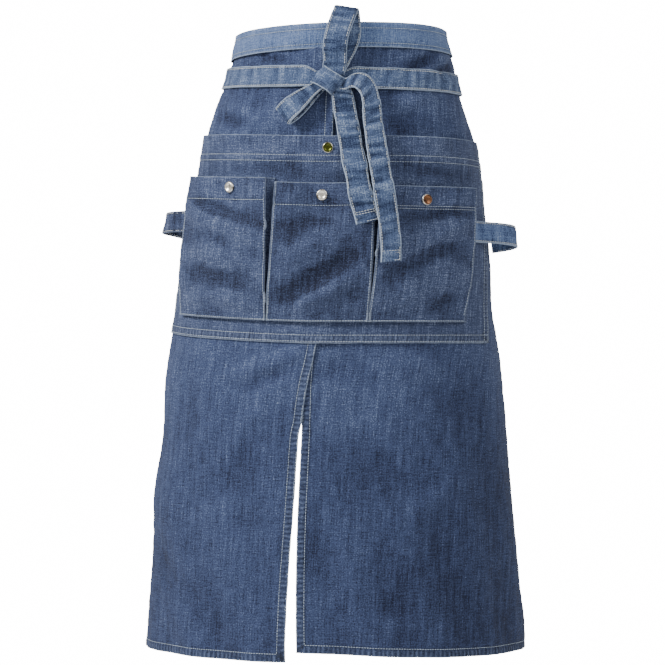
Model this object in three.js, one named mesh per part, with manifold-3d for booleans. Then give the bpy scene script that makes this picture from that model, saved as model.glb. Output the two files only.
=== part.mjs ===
// A long denim waist apron, as it hangs when it is worn: a waistband, a skirt whose two flaps
// part at a front slit, a wide pocket panel with three bellows pockets closed by snaps, a tool
// loop at each side, and two ties that cross behind and are tied in a bow in front.
// Millimetres, +Z up. The wearer faces -Y, so left and right in names are as seen from the
// front: left is -X. The origin is the middle of the waist hollow, at the waistband's mid-height.
import * as THREE from "three";
import Module from "manifold-3d";
import { mergeVertices } from "three/addons/utils/BufferGeometryUtils.js";

const wasm = await Module();
wasm.setup();

// Driving dimensions of the body of the apron
const LENGTH = 732; // top edge of the waistband to the hem
const WAIST_WIDTH = 250;
const WAIST_DEPTH = 190;
const HEM_WIDTH = 450;
const HEM_DEPTH = 300;
const HEM_LEAN = -11.5; // the hem's middle stands this far to the side of the waist's middle
const SEAM_TURN = -8.3; // degrees that the front seam has turned round the body at the hem
const BACK_GAP_WAIST = 112; // between the two back edges, round the body
const BACK_GAP_HEM = 228;

// Cloth
const CLOTH = 1.2; // one layer of denim
const HEM_CLOTH = 2; // a folded hem
const LAYER_GAP = 0.7; // between layers that lie on each other
const HEM_HEIGHT = 11;
const EDGE_HEM = 10; // the hems beside the slit and down the back edges

// Waistband
const BAND_HEIGHT = 30;
const BAND_RISE = 4; // the band stands this much higher in front than behind
const BAND_TILT = 4.8; // and this much higher on the right than on the left

// Front seam and slit
const SEAM_LAP_OVER = 5; // the left panel's edge, past the seam line
const SEAM_LAP_UNDER = 9; // the right panel's edge, behind the left one
const SLIT_OPENING = 14; // between the flaps at the hem
const FLAP_RISE = 11; // the right flap's hem is this much shorter beside the slit
const JOIN_RISE = 13; // the flaps are joined to the skirt behind the panel, this far above its foot

// Pocket panel and its pockets
const PANEL_WIDTH = 452;
const PANEL_SIDE = -3; // its middle, from the front seam
const PANEL_DROP = 130; // below the waistband's top edge
const PANEL_HEIGHT = 238;
const PANEL_LIFT = 12; // the panel's left end is carried this much higher
const PANEL_STAND = 9; // how far its mouth stands open at each side of its snap
const POCKET_WIDTH = 118;
const POCKET_PITCH = 120;
const POCKET_DROP = 55; // below the panel's top edge
const POCKET_HEIGHT = 159;
const POCKET_DEPTH = 14;
const POCKET_FLANGE = 2.6; // sewn flat on the panel beside each bellows fold
const BELLOWS_FOLD = 2.2; // how far the bellows are tucked in
const BELLOWS_SLOPE = 3.4; // the side's run where it is sewn flat at the pocket's foot

// Snaps
const SNAP_DIAMETER = 13;
const SNAP_HEIGHT = 3.2;
const SNAP_PINCH = 3.4; // the pocket stands this far off the panel where it is snapped
const SNAP_DROP = 14; // below the edge that it closes
const STUD_DIAMETER = 9;
const PIECE_GAP = 0.3; // between a hard piece and the cloth that it sits on

// Ties, bow and tool loops
const TIE_WIDTH = 25;
const TIE_THICKNESS = 2.4;
const TIE_DROP = 43; // middle of the tie in front, below the band's middle
const KNOT_LENGTH = 31;
const KNOT_HEIGHT = 26;
const KNOT_THICKNESS = 13;
const KNOT_ANGLE = -38; // degrees, of the strap that goes round the knot
const KNOT_SIDE = -2.5; // the knot's middle, from the front seam
const UPPER_LOOP_LENGTH = 72;
const LOWER_LOOP_LENGTH = 57;
const SHORT_TAIL_LENGTH = 150;
const LONG_TAIL_LENGTH = 222;
const TOOL_LOOP_START = 199; // from the panel's middle
const TOOL_LOOP_REACH = 44; // round the body, from there to its far end
const TOOL_LOOP_BULGE = 30; // how far it stands off the panel
const TOOL_LOOP_DROP = 108; // its middle, below the panel's top edge

// The body's shape under the cloth. drop: share of LENGTH below the waistband's top edge.
// flare and deep: how far the width and depth have grown from waist to hem. lean and turn:
// shares of HEM_LEAN and SEAM_TURN.
const SECTIONS = [
  { drop: 0, flare: 0, deep: 0, lean: 0, turn: 0 },
  { drop: 0.04, flare: 0.055, deep: 0.06, lean: 0.03, turn: 0 },
  { drop: 0.1, flare: 0.19, deep: 0.22, lean: 0.25, turn: 0 },
  { drop: 0.16, flare: 0.325, deep: 0.4, lean: 0.33, turn: 0 },
  { drop: 0.23, flare: 0.435, deep: 0.55, lean: 0.36, turn: 0 },
  { drop: 0.3, flare: 0.53, deep: 0.62, lean: 0.5, turn: 0.02 },
  { drop: 0.37, flare: 0.59, deep: 0.655, lean: 0.66, turn: 0.08 },
  { drop: 0.44, flare: 0.64, deep: 0.68, lean: 0.84, turn: 0.19 },
  { drop: 0.51, flare: 0.725, deep: 0.71, lean: 0.94, turn: 0.36 },
  { drop: 0.57, flare: 0.77, deep: 0.74, lean: 0.96, turn: 0.6 },
  { drop: 0.63, flare: 0.815, deep: 0.78, lean: 0.96, turn: 0.74 },
  { drop: 0.75, flare: 0.89, deep: 0.86, lean: 0.96, turn: 0.84 },
  { drop: 0.88, flare: 0.96, deep: 0.94, lean: 0.98, turn: 0.95 },
  { drop: 1, flare: 1, deep: 1, lean: 1, turn: 1 },
];

// Where the panels' front edges run. lap: share of the lap at the seam. gape: share of the
// slit's opening.
const SLIT = [
  { drop: 0, lap: 1, gape: 0 },
  { drop: 0.48, lap: 1, gape: 0 },
  { drop: 0.55, lap: 0.55, gape: 0 },
  { drop: 0.62, lap: 0.06, gape: 0 },
  { drop: 0.65, lap: 0, gape: 0.38 },
  { drop: 0.75, lap: 0, gape: 0.56 },
  { drop: 0.88, lap: 0, gape: 0.86 },
  { drop: 1, lap: 0, gape: 1 },
];

// Soft upright folds that deepen towards the hem. round: middle, as a share of the half hem
// from the seam. spread: share of the half hem. from: drop where the fold starts. depth: share
// of HEM_DEPTH, outwards.
const DRAPES = [
  { round: 0.18, spread: 0.09, from: 0.5, depth: 0.018 },
  { round: 0.4, spread: 0.08, from: 0.55, depth: -0.012 },
  { round: -0.06, spread: 0.06, from: 0.62, depth: 0.012 },
  { round: -0.28, spread: 0.08, from: 0.55, depth: -0.01 },
  { round: 0.62, spread: 0.07, from: 0.4, depth: 0.018 },
  { round: -0.64, spread: 0.07, from: 0.4, depth: 0.02 },
  { round: 0.76, spread: 0.08, from: 0.35, depth: -0.026 },
  { round: -0.78, spread: 0.08, from: 0.35, depth: -0.024 },
];

// A pocket's stand-off from top to bottom. down: share of POCKET_HEIGHT. depth: share of
// POCKET_DEPTH.
const POCKET_PROFILE = [
  { down: 0, depth: 0.9 },
  { down: 0.16, depth: 0.97 },
  { down: 0.45, depth: 1 },
  { down: 0.72, depth: 0.86 },
  { down: 0.9, depth: 0.4 },
  { down: 1, depth: 0.06 },
];

// middle: share of POCKET_PITCH from the panel's middle. width: share of POCKET_WIDTH. rise: how
// much higher the pocket hangs, as a share of SNAP_DIAMETER. snap: where its snap is, as a share
// of its half width. snapDrop: share of SNAP_DROP.
const POCKETS = [
  { name: "left", middle: -1.008, width: 1.017, rise: 0.15, snap: 0.2, snapDrop: 0.86 },
  { name: "middle", middle: 0, width: 0.932, rise: 0, snap: -0.02, snapDrop: 1 },
  { name: "right", middle: 1, width: 1, rise: -0.25, snap: -0.1, snapDrop: 1.1 },
];

// Routes of the two ties from the band's back end to the knot. round: share of the way.
// fall: share of TIE_DROP below the band's middle. clear: layers of tie that it lies over.
const TIE_ROUTES = {
  left: [
    { round: 0, fall: 0, clear: 1.5 },
    { round: 0.1, fall: 0.32, clear: 2.4 },
    { round: 0.205, fall: 0.66, clear: 2.6 },
    { round: 0.31, fall: 0.76, clear: 2.5 },
    { round: 0.42, fall: 0.8, clear: 0.2 },
    { round: 0.52, fall: 0.82, clear: 0 },
    { round: 0.75, fall: 0.93, clear: 0.05 },
    { round: 0.9, fall: 1, clear: 0.22 },
    { round: 1, fall: 1.03, clear: 0.35 },
  ],
  right: [
    { round: 0, fall: 0, clear: 1.5 },
    { round: 0.1, fall: 0.34, clear: 0.9 },
    { round: 0.205, fall: 0.68, clear: 0.1 },
    { round: 0.3, fall: 0.86, clear: 0 },
    { round: 0.52, fall: 1.04, clear: 0 },
    { round: 0.75, fall: 1.09, clear: 0 },
    { round: 0.9, fall: 1.09, clear: 0.1 },
    { round: 1, fall: 1.08, clear: 0.35 },
  ],
};

// The bow's straps. along: share of the strap's named length, across: share of TIE_WIDTH,
// both from the knot's middle. lift: share of KNOT_THICKNESS off the skirt. lean: degrees that
// the strap's width is turned in the plane of the cloth. roll: degrees that it is turned out of
// that plane.
const UPPER_LOOP = [
  { along: 0.08, across: 0.2, lift: 0.78, lean: 0, roll: 0 },
  { along: 0.3, across: 0.24, lift: 0.84, lean: 0, roll: 0 },
  { along: 0.5, across: 0.22, lift: 1.25, lean: -4, roll: 0 },
  { along: 0.72, across: 0.28, lift: 1.45, lean: -8, roll: 4 },
  { along: 0.95, across: 0.46, lift: 1.42, lean: -10, roll: 6 },
  { along: 1.11, across: 0.62, lift: 1.25, lean: -10, roll: 6 },
  { along: 1.165, across: 0.68, lift: 1.04, lean: -10, roll: 4 },
  { along: 1.12, across: 0.74, lift: 0.82, lean: -8, roll: 0 },
  { along: 0.95, across: 0.8, lift: 0.62, lean: -4, roll: 0 },
  { along: 0.7, across: 0.8, lift: 0.56, lean: 6, roll: 0 },
  { along: 0.45, across: 0.64, lift: 0.56, lean: 14, roll: 0 },
  { along: 0.26, across: 0.44, lift: 0.5, lean: 20, roll: 0 },
  { along: 0.08, across: 0.25, lift: 0.5, lean: 20, roll: 0 },
];
const LOWER_LOOP = [
  { along: 0.1, across: -0.08, lift: 0.8, lean: 0, roll: 0 },
  { along: 0.36, across: -0.06, lift: 1.15, lean: 0, roll: 0 },
  { along: 0.62, across: -0.02, lift: 1.42, lean: 0, roll: 0 },
  { along: 0.88, across: 0, lift: 1.38, lean: 0, roll: 0 },
  { along: 1.05, across: 0.02, lift: 1.2, lean: 0, roll: 0 },
  { along: 1.1, across: 0.04, lift: 1.0, lean: 0, roll: 0 },
  { along: 1.05, across: 0.06, lift: 0.8, lean: 0, roll: 0 },
  { along: 0.88, across: 0.1, lift: 0.64, lean: 0, roll: 0 },
  { along: 0.62, across: 0.14, lift: 0.54, lean: 0, roll: 0 },
  { along: 0.36, across: 0.12, lift: 0.5, lean: 0, roll: 0 },
  { along: 0.1, across: 0, lift: 0.5, lean: 0, roll: 0 },
];
const SHORT_TAIL = [
  { along: 0.02, across: 0.5, lift: 0.5, lean: -12, roll: 0 },
  { along: 0.1, across: 0.66, lift: 0.5, lean: -4, roll: 0 },
  { along: 0.22, across: 0.76, lift: 0.55, lean: 3, roll: 0 },
  { along: 0.38, across: 0.86, lift: 0.62, lean: 4, roll: 0 },
  { along: 0.55, across: 0.97, lift: 0.9, lean: 5, roll: 0 },
  { along: 0.7, across: 1.1, lift: 1.45, lean: 6, roll: 0 },
  { along: 0.85, across: 1.27, lift: 1.72, lean: 9, roll: 0 },
  { along: 0.97, across: 1.5, lift: 1.78, lean: 15, roll: 0 },
  { along: 1.08, across: 1.74, lift: 1.8, lean: 17, roll: 0 },
];
const LONG_TAIL = [
  { along: -0.02, across: 0.3, lift: 0.95, lean: -37, roll: 0 },
  { along: -0.075, across: 0.62, lift: 1.3, lean: -38, roll: 0 },
  { along: -0.085, across: 0.96, lift: 1.62, lean: -38, roll: -10 },
  { along: -0.05, across: 1.28, lift: 1.72, lean: -34, roll: -22 },
  { along: 0.01, across: 1.52, lift: 1.6, lean: -24, roll: -34 },
  { along: 0.09, across: 1.72, lift: 1.32, lean: -12, roll: -42 },
  { along: 0.19, across: 1.84, lift: 1.2, lean: 2, roll: -40 },
  { along: 0.32, across: 1.98, lift: 1.5, lean: 7, roll: -34 },
  { along: 0.46, across: 2.16, lift: 1.95, lean: 9, roll: -24 },
  { along: 0.6, across: 2.4, lift: 2.25, lean: 10, roll: -12 },
  { along: 0.74, across: 2.66, lift: 2.25, lean: 8, roll: -4 },
  { along: 0.87, across: 2.84, lift: 2.2, lean: 4, roll: 0 },
  { along: 0.97, across: 2.9, lift: 2.2, lean: 3, roll: 0 },
];

const DENIM = { color: 0x44557a, roughness: 0.92, metalness: 0 };
const WORN_DENIM = { color: 0x6a7f9f, roughness: 0.92, metalness: 0 };
const NICKEL = { color: 0xc9c2b4, roughness: 0.22, metalness: 1 };
const BRASS = { color: 0x8f8a3a, roughness: 0.28, metalness: 1 };

const BAND_TOP = BAND_HEIGHT / 2;
const HEM_LEVEL = BAND_TOP - LENGTH;
const PANEL_TOP = BAND_TOP - PANEL_DROP;
const PANEL_FOOT = PANEL_TOP - PANEL_HEIGHT;
const JOIN_LEVEL = PANEL_FOOT + JOIN_RISE;
const PANEL_FACE = LAYER_GAP + CLOTH; // lift of the panel's outer face
const BAND_FACE = HEM_CLOTH + 2 * LAYER_GAP + CLOTH; // lift of the waistband's outer face
const BAND_LINING = -HEM_CLOTH - LAYER_GAP - CLOTH; // and of its face against the body
const radians = THREE.MathUtils.degToRad;

const mix = (a, b, share) => a + (b - a) * share;
const smooth = (share) => THREE.MathUtils.smoothstep(share, 0, 1);

// One column of a table at a place along its first column, on a smooth curve with no overshoot.
function read(table, key, column, place) {
  const last = table.length - 1;
  if (place <= table[0][key]) return table[0][column];
  if (place >= table[last][key]) return table[last][column];
  const i = table.findIndex((row) => row[key] > place) - 1;
  const slope = (k) => {
    if (k <= 0 || k >= last) return 0;
    const before = (table[k][column] - table[k - 1][column]) / (table[k][key] - table[k - 1][key]);
    const after = (table[k + 1][column] - table[k][column]) / (table[k + 1][key] - table[k][key]);
    return before * after <= 0 ? 0 : (2 * before * after) / (before + after);
  };
  const width = table[i + 1][key] - table[i][key];
  const t = (place - table[i][key]) / width;
  const t2 = t * t;
  const t3 = t2 * t;
  return (
    (2 * t3 - 3 * t2 + 1) * table[i][column] +
    (t3 - 2 * t2 + t) * width * slope(i) +
    (3 * t2 - 2 * t3) * table[i + 1][column] +
    (t3 - t2) * width * slope(i + 1)
  );
}

const dropAt = (z) => (BAND_TOP - z) / LENGTH;
const ARC_STEPS = 360;
const sectionCache = new Map();

// The body's level section at a height: an ellipse, with its arc length from the front seam.
function sectionAt(z) {
  const key = z.toFixed(3);
  if (sectionCache.has(key)) return sectionCache.get(key);
  const drop = dropAt(z);
  const halfWidth = mix(WAIST_WIDTH, HEM_WIDTH, read(SECTIONS, "drop", "flare", drop)) / 2;
  const halfDepth = mix(WAIST_DEPTH, HEM_DEPTH, read(SECTIONS, "drop", "deep", drop)) / 2;
  const seam = radians(SEAM_TURN * read(SECTIONS, "drop", "turn", drop));
  const step = Math.PI / ARC_STEPS;
  const walk = (direction) => {
    const sums = [0];
    for (let i = 0; i < ARC_STEPS * 1.2; i += 1) {
      const angle = seam + direction * (i + 0.5) * step;
      sums.push(sums[i] + step * Math.hypot(halfWidth * Math.cos(angle), halfDepth * Math.sin(angle)));
    }
    return sums;
  };
  const section = {
    halfWidth,
    halfDepth,
    seam,
    step,
    middle: HEM_LEAN * read(SECTIONS, "drop", "lean", drop),
    ahead: walk(1),
    behind: walk(-1),
  };
  sectionCache.set(key, section);
  return section;
}

// The angle round the body that lies this far from the front seam, from straight ahead.
function angleAt(section, around) {
  const sums = around < 0 ? section.behind : section.ahead;
  const reach = Math.abs(around);
  let low = 0;
  let high = sums.length - 1;
  while (high - low > 1) {
    const half = (low + high) >> 1;
    if (sums[half] <= reach) low = half;
    else high = half;
  }
  const steps = low + (reach - sums[low]) / (sums[high] - sums[low]);
  return section.seam + Math.sign(around) * steps * section.step;
}

// And the other way round: how far from the front seam a place at this angle is.
function aroundAt(section, angle) {
  const wound = angle - section.seam;
  const turned = wound - 2 * Math.PI * Math.round(wound / (2 * Math.PI));
  const sums = turned < 0 ? section.behind : section.ahead;
  const place = Math.abs(turned) / section.step;
  const low = Math.floor(place);
  return Math.sign(turned) * mix(sums[low], sums[low + 1], place - low);
}

const halfRound = (z) => sectionAt(z).ahead[ARC_STEPS];
const HALF_HEM = halfRound(HEM_LEVEL);

// How far the cloth's soft folds push it out at a place on the body.
function drapeAt(around, z) {
  const drop = dropAt(z);
  const share = around / HALF_HEM;
  return DRAPES.reduce((sum, fold) => {
    if (drop <= fold.from) return sum;
    const grown = ((drop - fold.from) / (1 - fold.from)) ** 1.6;
    const away = (share - fold.round) / fold.spread;
    return sum + fold.depth * HEM_DEPTH * grown * Math.exp(-away * away);
  }, 0);
}

// A point that lies `around` from the front seam, at height z, `lift` outside the skirt's face.
function onBody(around, z, lift) {
  const section = sectionAt(z);
  const angle = angleAt(section, around);
  const sine = Math.sin(angle);
  const cosine = Math.cos(angle);
  const normal = new THREE.Vector2(sine / section.halfWidth, -cosine / section.halfDepth).normalize();
  const out = lift + drapeAt(around, z);
  return new THREE.Vector3(
    section.middle + section.halfWidth * sine + normal.x * out,
    -section.halfDepth * cosine + normal.y * out,
    z,
  );
}

// A closed mesh through rings of points: quads between neighbouring rings, and a cap at each end.
function loft(rings) {
  const count = rings[0].length;
  const positions = [];
  const quad = (a, b, c, d) => {
    for (const point of [a, b, c, a, c, d]) positions.push(point.x, point.y, point.z);
  };
  for (let i = 0; i + 1 < rings.length; i += 1) {
    for (let j = 0; j < count; j += 1) {
      const k = (j + 1) % count;
      quad(rings[i][j], rings[i][k], rings[i + 1][k], rings[i + 1][j]);
    }
  }
  const cap = (ring, turned) => {
    const half = count / 2;
    for (let j = 0; j + 1 < half; j += 1) {
      const corners = [ring[j], ring[j + 1], ring[count - 2 - j], ring[count - 1 - j]];
      quad(...(turned ? corners : corners.reverse()));
    }
  };
  cap(rings[0], false);
  cap(rings[rings.length - 1], true);
  return facingOut(positions);
}

// A geometry of loose triangles with its faces pointing out.
function facingOut(positions) {
  const geometry = new THREE.BufferGeometry();
  geometry.setAttribute("position", new THREE.Float32BufferAttribute(positions, 3));
  if (volumeOf(geometry) < 0) {
    const place = geometry.getAttribute("position");
    const swap = new THREE.Vector3();
    const kept = new THREE.Vector3();
    for (let i = 0; i < place.count; i += 3) {
      swap.fromBufferAttribute(place, i + 1);
      kept.fromBufferAttribute(place, i + 2);
      place.setXYZ(i + 1, kept.x, kept.y, kept.z);
      place.setXYZ(i + 2, swap.x, swap.y, swap.z);
    }
  }
  geometry.computeVertexNormals();
  return geometry;
}

function volumeOf(geometry) {
  const place = geometry.getAttribute("position");
  const corners = [0, 1, 2].map(() => new THREE.Vector3());
  let volume = 0;
  for (let i = 0; i < place.count; i += 3) {
    corners.forEach((corner, k) => corner.fromBufferAttribute(place, i + k));
    volume += corners[0].dot(corners[1].cross(corners[2])) / 6;
  }
  return volume;
}

// A sheet of cloth as one closed wall. columns and rows count its grid. place gives a point at
// a grid position for a side: 0 the inner face, 1 the outer one.
function clothWall(columns, rows, place) {
  const rings = [];
  for (let row = 0; row < rows; row += 1) {
    const outer = [];
    const inner = [];
    for (let column = 0; column < columns; column += 1) {
      outer.push(place(column, row, 1));
      inner.unshift(place(column, row, 0));
    }
    rings.push([...outer, ...inner]);
  }
  return loft(rings);
}

// Evenly stepped numbers from one end to the other, both included.
const steps = (from, to, count) =>
  Array.from({ length: count + 1 }, (_, i) => mix(from, to, i / count));

function toManifold(geometry) {
  const bare = new THREE.BufferGeometry();
  bare.setAttribute("position", geometry.getAttribute("position"));
  if (geometry.index) bare.setIndex(geometry.index);
  const merged = mergeVertices(bare, 1e-3);
  return new wasm.Manifold(
    new wasm.Mesh({
      numProp: 3,
      vertProperties: merged.getAttribute("position").array,
      triVerts: new Uint32Array(merged.index.array),
    }),
  );
}

function fromManifold(solid) {
  const mesh = solid.getMesh();
  const geometry = new THREE.BufferGeometry();
  geometry.setAttribute("position", new THREE.BufferAttribute(mesh.vertProperties, 3));
  geometry.setIndex(new THREE.BufferAttribute(mesh.triVerts, 1));
  geometry.computeVertexNormals();
  return geometry;
}

// What is left of a strap outside the knot: the piece with the most cloth in it.
function clearOf(strap, blocker) {
  const pieces = toManifold(strap).subtract(blocker).decompose();
  pieces.sort((a, b) => b.volume() - a.volume());
  return fromManifold(pieces[0]);
}

const apron = new THREE.Group();

function add(name, geometry, finish) {
  const mesh = new THREE.Mesh(geometry, new THREE.MeshStandardMaterial(finish));
  mesh.name = name;
  apron.add(mesh);
  return mesh;
}

// Skirt panels

const seamLap = (z) => read(SLIT, "drop", "lap", dropAt(z));
const slitGape = (z) => read(SLIT, "drop", "gape", dropAt(z));
const leftEdge = (z) => SEAM_LAP_OVER * seamLap(z) - (SLIT_OPENING / 2) * slitGape(z);
const rightEdge = (z) => (SLIT_OPENING / 2) * slitGape(z) - SEAM_LAP_UNDER * seamLap(z);
const backEdge = (z) => halfRound(z) - mix(BACK_GAP_WAIST, BACK_GAP_HEM, dropAt(z)) / 2;

const LAP_RAMP = 44; // over which the left panel climbs onto the right one
const FRONT_COLUMNS = 14;
const FRONT_SHARE = 0.54; // of the panel's width, closely stepped under the pocket panel
const BACK_COLUMNS = 6;
const BAND_ROWS = 6;
const PANEL_ROWS = 9;
const LOWER_ROWS = 6;
const FLAP_REACH = 0.3; // share of the half hem over which the right flap's rise dies out

// How much higher than the level ring the band stands at a place round the waist.
function bandShift(around) {
  const angle = angleAt(sectionAt(0), around);
  return (BAND_RISE * (1 + Math.cos(angle))) / 2 + (BAND_TILT / 2) * Math.sin(angle);
}

// Distances from the panel's front edge to its back edge, for the columns of its grid.
function panelColumns(width) {
  const body = width - 2 * EDGE_HEM;
  const shares = [...steps(0, FRONT_SHARE, FRONT_COLUMNS), ...steps(FRONT_SHARE, 1, BACK_COLUMNS).slice(1)];
  return [0, ...shares.map((share) => EDGE_HEM + share * body), width];
}

// Levels of the skirt's grid, from inside the waistband to the join, and of the flap's, from
// there to the hem. Their rows keep the steps of the pocket panel that lies over them.
function skirtLevels() {
  const top = BAND_TOP - CLOTH - LAYER_GAP;
  const row = PANEL_HEIGHT / PANEL_ROWS;
  return [
    ...steps(top, PANEL_TOP, BAND_ROWS),
    ...steps(PANEL_TOP - row, PANEL_FOOT + row, PANEL_ROWS - 2),
    JOIN_LEVEL + PIECE_GAP / 2,
  ];
}

function flapLevels() {
  return [
    JOIN_LEVEL - PIECE_GAP / 2,
    ...steps(PANEL_FOOT, HEM_LEVEL + HEM_HEIGHT, LOWER_ROWS),
    HEM_LEVEL,
  ];
}

// The left panel laps over the right one at the seam, and its edge stays lifted beside the slit.
function lapLift(around, z) {
  const climb = smooth((around + SEAM_LAP_UNDER + LAP_RAMP) / LAP_RAMP);
  return (HEM_CLOTH + LAYER_GAP) * climb * mix(1, 0.35, smooth(slitGape(z)));
}

// The skirt or the flap of one side, on its levels from the top down.
function skirtPanel(side, levels) {
  const columnCount = panelColumns(1).length;
  const height = (level, around) => {
    const raised = level > 0 ? level + bandShift(around) : level;
    if (side < 0) return raised;
    const half = BAND_TOP - LENGTH * 0.5;
    const share = smooth((raised - half) / (HEM_LEVEL - half));
    const near = Math.exp(-((around / (FLAP_REACH * HALF_HEM)) ** 2));
    return raised + FLAP_RISE * near * share;
  };
  return clothWall(columnCount, levels.length, (column, row, face) => {
    const level = levels[row];
    const front = side < 0 ? -leftEdge(level) : rightEdge(level);
    const back = backEdge(level);
    const distance = panelColumns(back - front)[column];
    const around = side * (front + distance);
    const z = height(level, around);
    const atEdge = column === 0 || column === columnCount - 1 || level === HEM_LEVEL;
    const wall = atEdge ? HEM_CLOTH : CLOTH;
    const lift = side < 0 ? lapLift(around, z) : 0;
    return onBody(around, z, lift - (face ? 0 : wall));
  });
}

add("skirt_left", skirtPanel(-1, skirtLevels()), DENIM);
add("skirt_right", skirtPanel(1, skirtLevels()), DENIM);
add("flap_left", skirtPanel(-1, flapLevels()), DENIM);
add("flap_right", skirtPanel(1, flapLevels()), DENIM);

// Waistband, folded over the skirt's top edge

const BAND_STEPS = 42;
const bandEnd = backEdge(0);

function waistband() {
  const profile = [
    [BAND_FACE, -BAND_TOP],
    [BAND_FACE, BAND_TOP],
    [BAND_LINING, BAND_TOP],
    [BAND_LINING, -BAND_TOP],
    [BAND_LINING + CLOTH, -BAND_TOP],
    [BAND_LINING + CLOTH, BAND_TOP - CLOTH],
    [BAND_FACE - CLOTH, BAND_TOP - CLOTH],
    [BAND_FACE - CLOTH, -BAND_TOP],
  ];
  const rings = steps(-bandEnd, bandEnd, BAND_STEPS).map((around) =>
    profile.map(([lift, z]) => onBody(around, z + bandShift(around), lift)),
  );
  return loft(rings);
}

add("waistband", waistband(), WORN_DENIM);

// Pocket panel

const PANEL_COLUMNS = 32;

// Everything on the panel hangs a little higher towards its left end.
const panelShift = (around) => PANEL_LIFT * Math.max(0, (2 * -around) / PANEL_WIDTH) ** 1.4;

// A point on what lies on the skirt: it climbs over the lapped front seam, and comes down
// beyond it.
function onCloth(around, z, lift) {
  const beyond = smooth((around - SEAM_LAP_OVER) / LAP_RAMP);
  return onBody(around, z, lift + lapLift(around, z) * (1 - beyond));
}

// How far the panel's cloth stands off the skirt: its mouth is open at both sides of the snap.
function panelStand(around, down) {
  const share = Math.abs(around - PANEL_SIDE) / (PANEL_WIDTH / 2);
  const bulge = Math.sin(Math.PI * Math.min(share, 1)) ** 2;
  return PANEL_STAND * bulge * (1 - smooth(down * 1.15));
}

// A point at `lift` outside the panel's outer face. z: before the panel's left end is raised.
function onPanel(around, z, lift) {
  const down = (PANEL_TOP - z) / PANEL_HEIGHT;
  return onCloth(around, z + panelShift(around), PANEL_FACE + panelStand(around, down) + lift);
}

function pocketPanel() {
  const columns = steps(-PANEL_WIDTH / 2, PANEL_WIDTH / 2, PANEL_COLUMNS);
  const rows = steps(PANEL_TOP, PANEL_FOOT, PANEL_ROWS);
  return clothWall(columns.length, rows.length, (column, row, face) =>
    onPanel(PANEL_SIDE + columns[column], rows[row], face ? 0 : -CLOTH),
  );
}

add("pocket_panel", pocketPanel(), DENIM);

// Bellows pockets

const POCKET_DOWNS = [0.14, 0.26, 0.4, 0.54, 0.68, 0.8, 0.9, 1];
const POCKET_SIDES = [-1, -0.72, -0.44];
const SNAP_FLAT = 0.055; // share of POCKET_WIDTH that stays flat at each side of a snap
const PINCH_WIDTH = 0.42; // of half the pocket's width
const PINCH_HEIGHT = 0.2; // of the pocket's height

const pocketTop = (pocket) => PANEL_TOP - POCKET_DROP + pocket.rise * SNAP_DIAMETER;
const pocketMiddle = (pocket) => PANEL_SIDE + pocket.middle * POCKET_PITCH;
const halfPocket = (pocket) => (pocket.width * POCKET_WIDTH) / 2;
const snapDown = (pocket) => (pocket.snapDrop * SNAP_DROP) / POCKET_HEIGHT;

// How far the pocket's front stands off the panel. side: -1 to 1 across. down: 0 to 1.
function pocketStand(pocket, side, down) {
  const open = POCKET_DEPTH * read(POCKET_PROFILE, "down", "depth", down);
  const aside = Math.max(0, Math.abs(side - pocket.snap) - 2 * SNAP_FLAT);
  const below = Math.max(0, Math.abs(down - snapDown(pocket)) - SNAP_FLAT);
  const away = Math.hypot(aside / PINCH_WIDTH, below / PINCH_HEIGHT);
  return mix(open, Math.min(open, SNAP_PINCH), Math.exp(-away * away));
}

// The pocket's outline across, as points of the cloth's middle: [across, stand].
function pocketOutline(pocket, down) {
  const half = halfPocket(pocket);
  const edge = pocketStand(pocket, 1, down);
  const slope = BELLOWS_SLOPE * smooth(down);
  const fold = half - BELLOWS_FOLD * (edge / POCKET_DEPTH) - slope / 2;
  const sides = [
    ...POCKET_SIDES,
    pocket.snap - 2 * SNAP_FLAT,
    pocket.snap + 2 * SNAP_FLAT,
    ...POCKET_SIDES.map((side) => -side).reverse(),
  ];
  return [
    [-half - POCKET_FLANGE, 0],
    [-half, 0],
    [-fold, edge / 2],
    ...sides.map((side) => [side * (half - slope), pocketStand(pocket, side, down)]),
    [fold, edge / 2],
    [half, 0],
    [half + POCKET_FLANGE, 0],
  ];
}

// The same outline moved sideways off the cloth's middle by `off`, mitred at its corners.
function offsetOutline(outline, off) {
  const normals = outline.slice(1).map(([x, y], i) => {
    const dx = x - outline[i][0];
    const dy = y - outline[i][1];
    const length = Math.hypot(dx, dy);
    return [-dy / length, dx / length];
  });
  return outline.map(([x, y], i) => {
    const before = normals[Math.max(i - 1, 0)];
    const after = normals[Math.min(i, normals.length - 1)];
    const sum = [before[0] + after[0], before[1] + after[1]];
    const mitre = (2 * off) / (sum[0] ** 2 + sum[1] ** 2);
    return [x + sum[0] * mitre, y + sum[1] * mitre];
  });
}

function pocketBag(pocket) {
  const middle = pocketMiddle(pocket);
  const base = LAYER_GAP + CLOTH / 2;
  const downs = [0, snapDown(pocket) - SNAP_FLAT, ...POCKET_DOWNS];
  const rings = downs.map((down) => {
    const outline = pocketOutline(pocket, down);
    const z = pocketTop(pocket) - down * (POCKET_HEIGHT + pocket.rise * SNAP_DIAMETER);
    const place = ([across, stand]) => onPanel(middle + across, z, base + stand);
    const outer = offsetOutline(outline, CLOTH / 2).map(place);
    const inner = offsetOutline(outline, -CLOTH / 2).map(place);
    return [...outer, ...inner.reverse()];
  });
  return loft(rings);
}

POCKETS.forEach((pocket) => {
  add(`pocket_${pocket.name}`, pocketBag(pocket), DENIM);
});

// Snaps

const SNAP_SIDES = 14;

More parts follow.
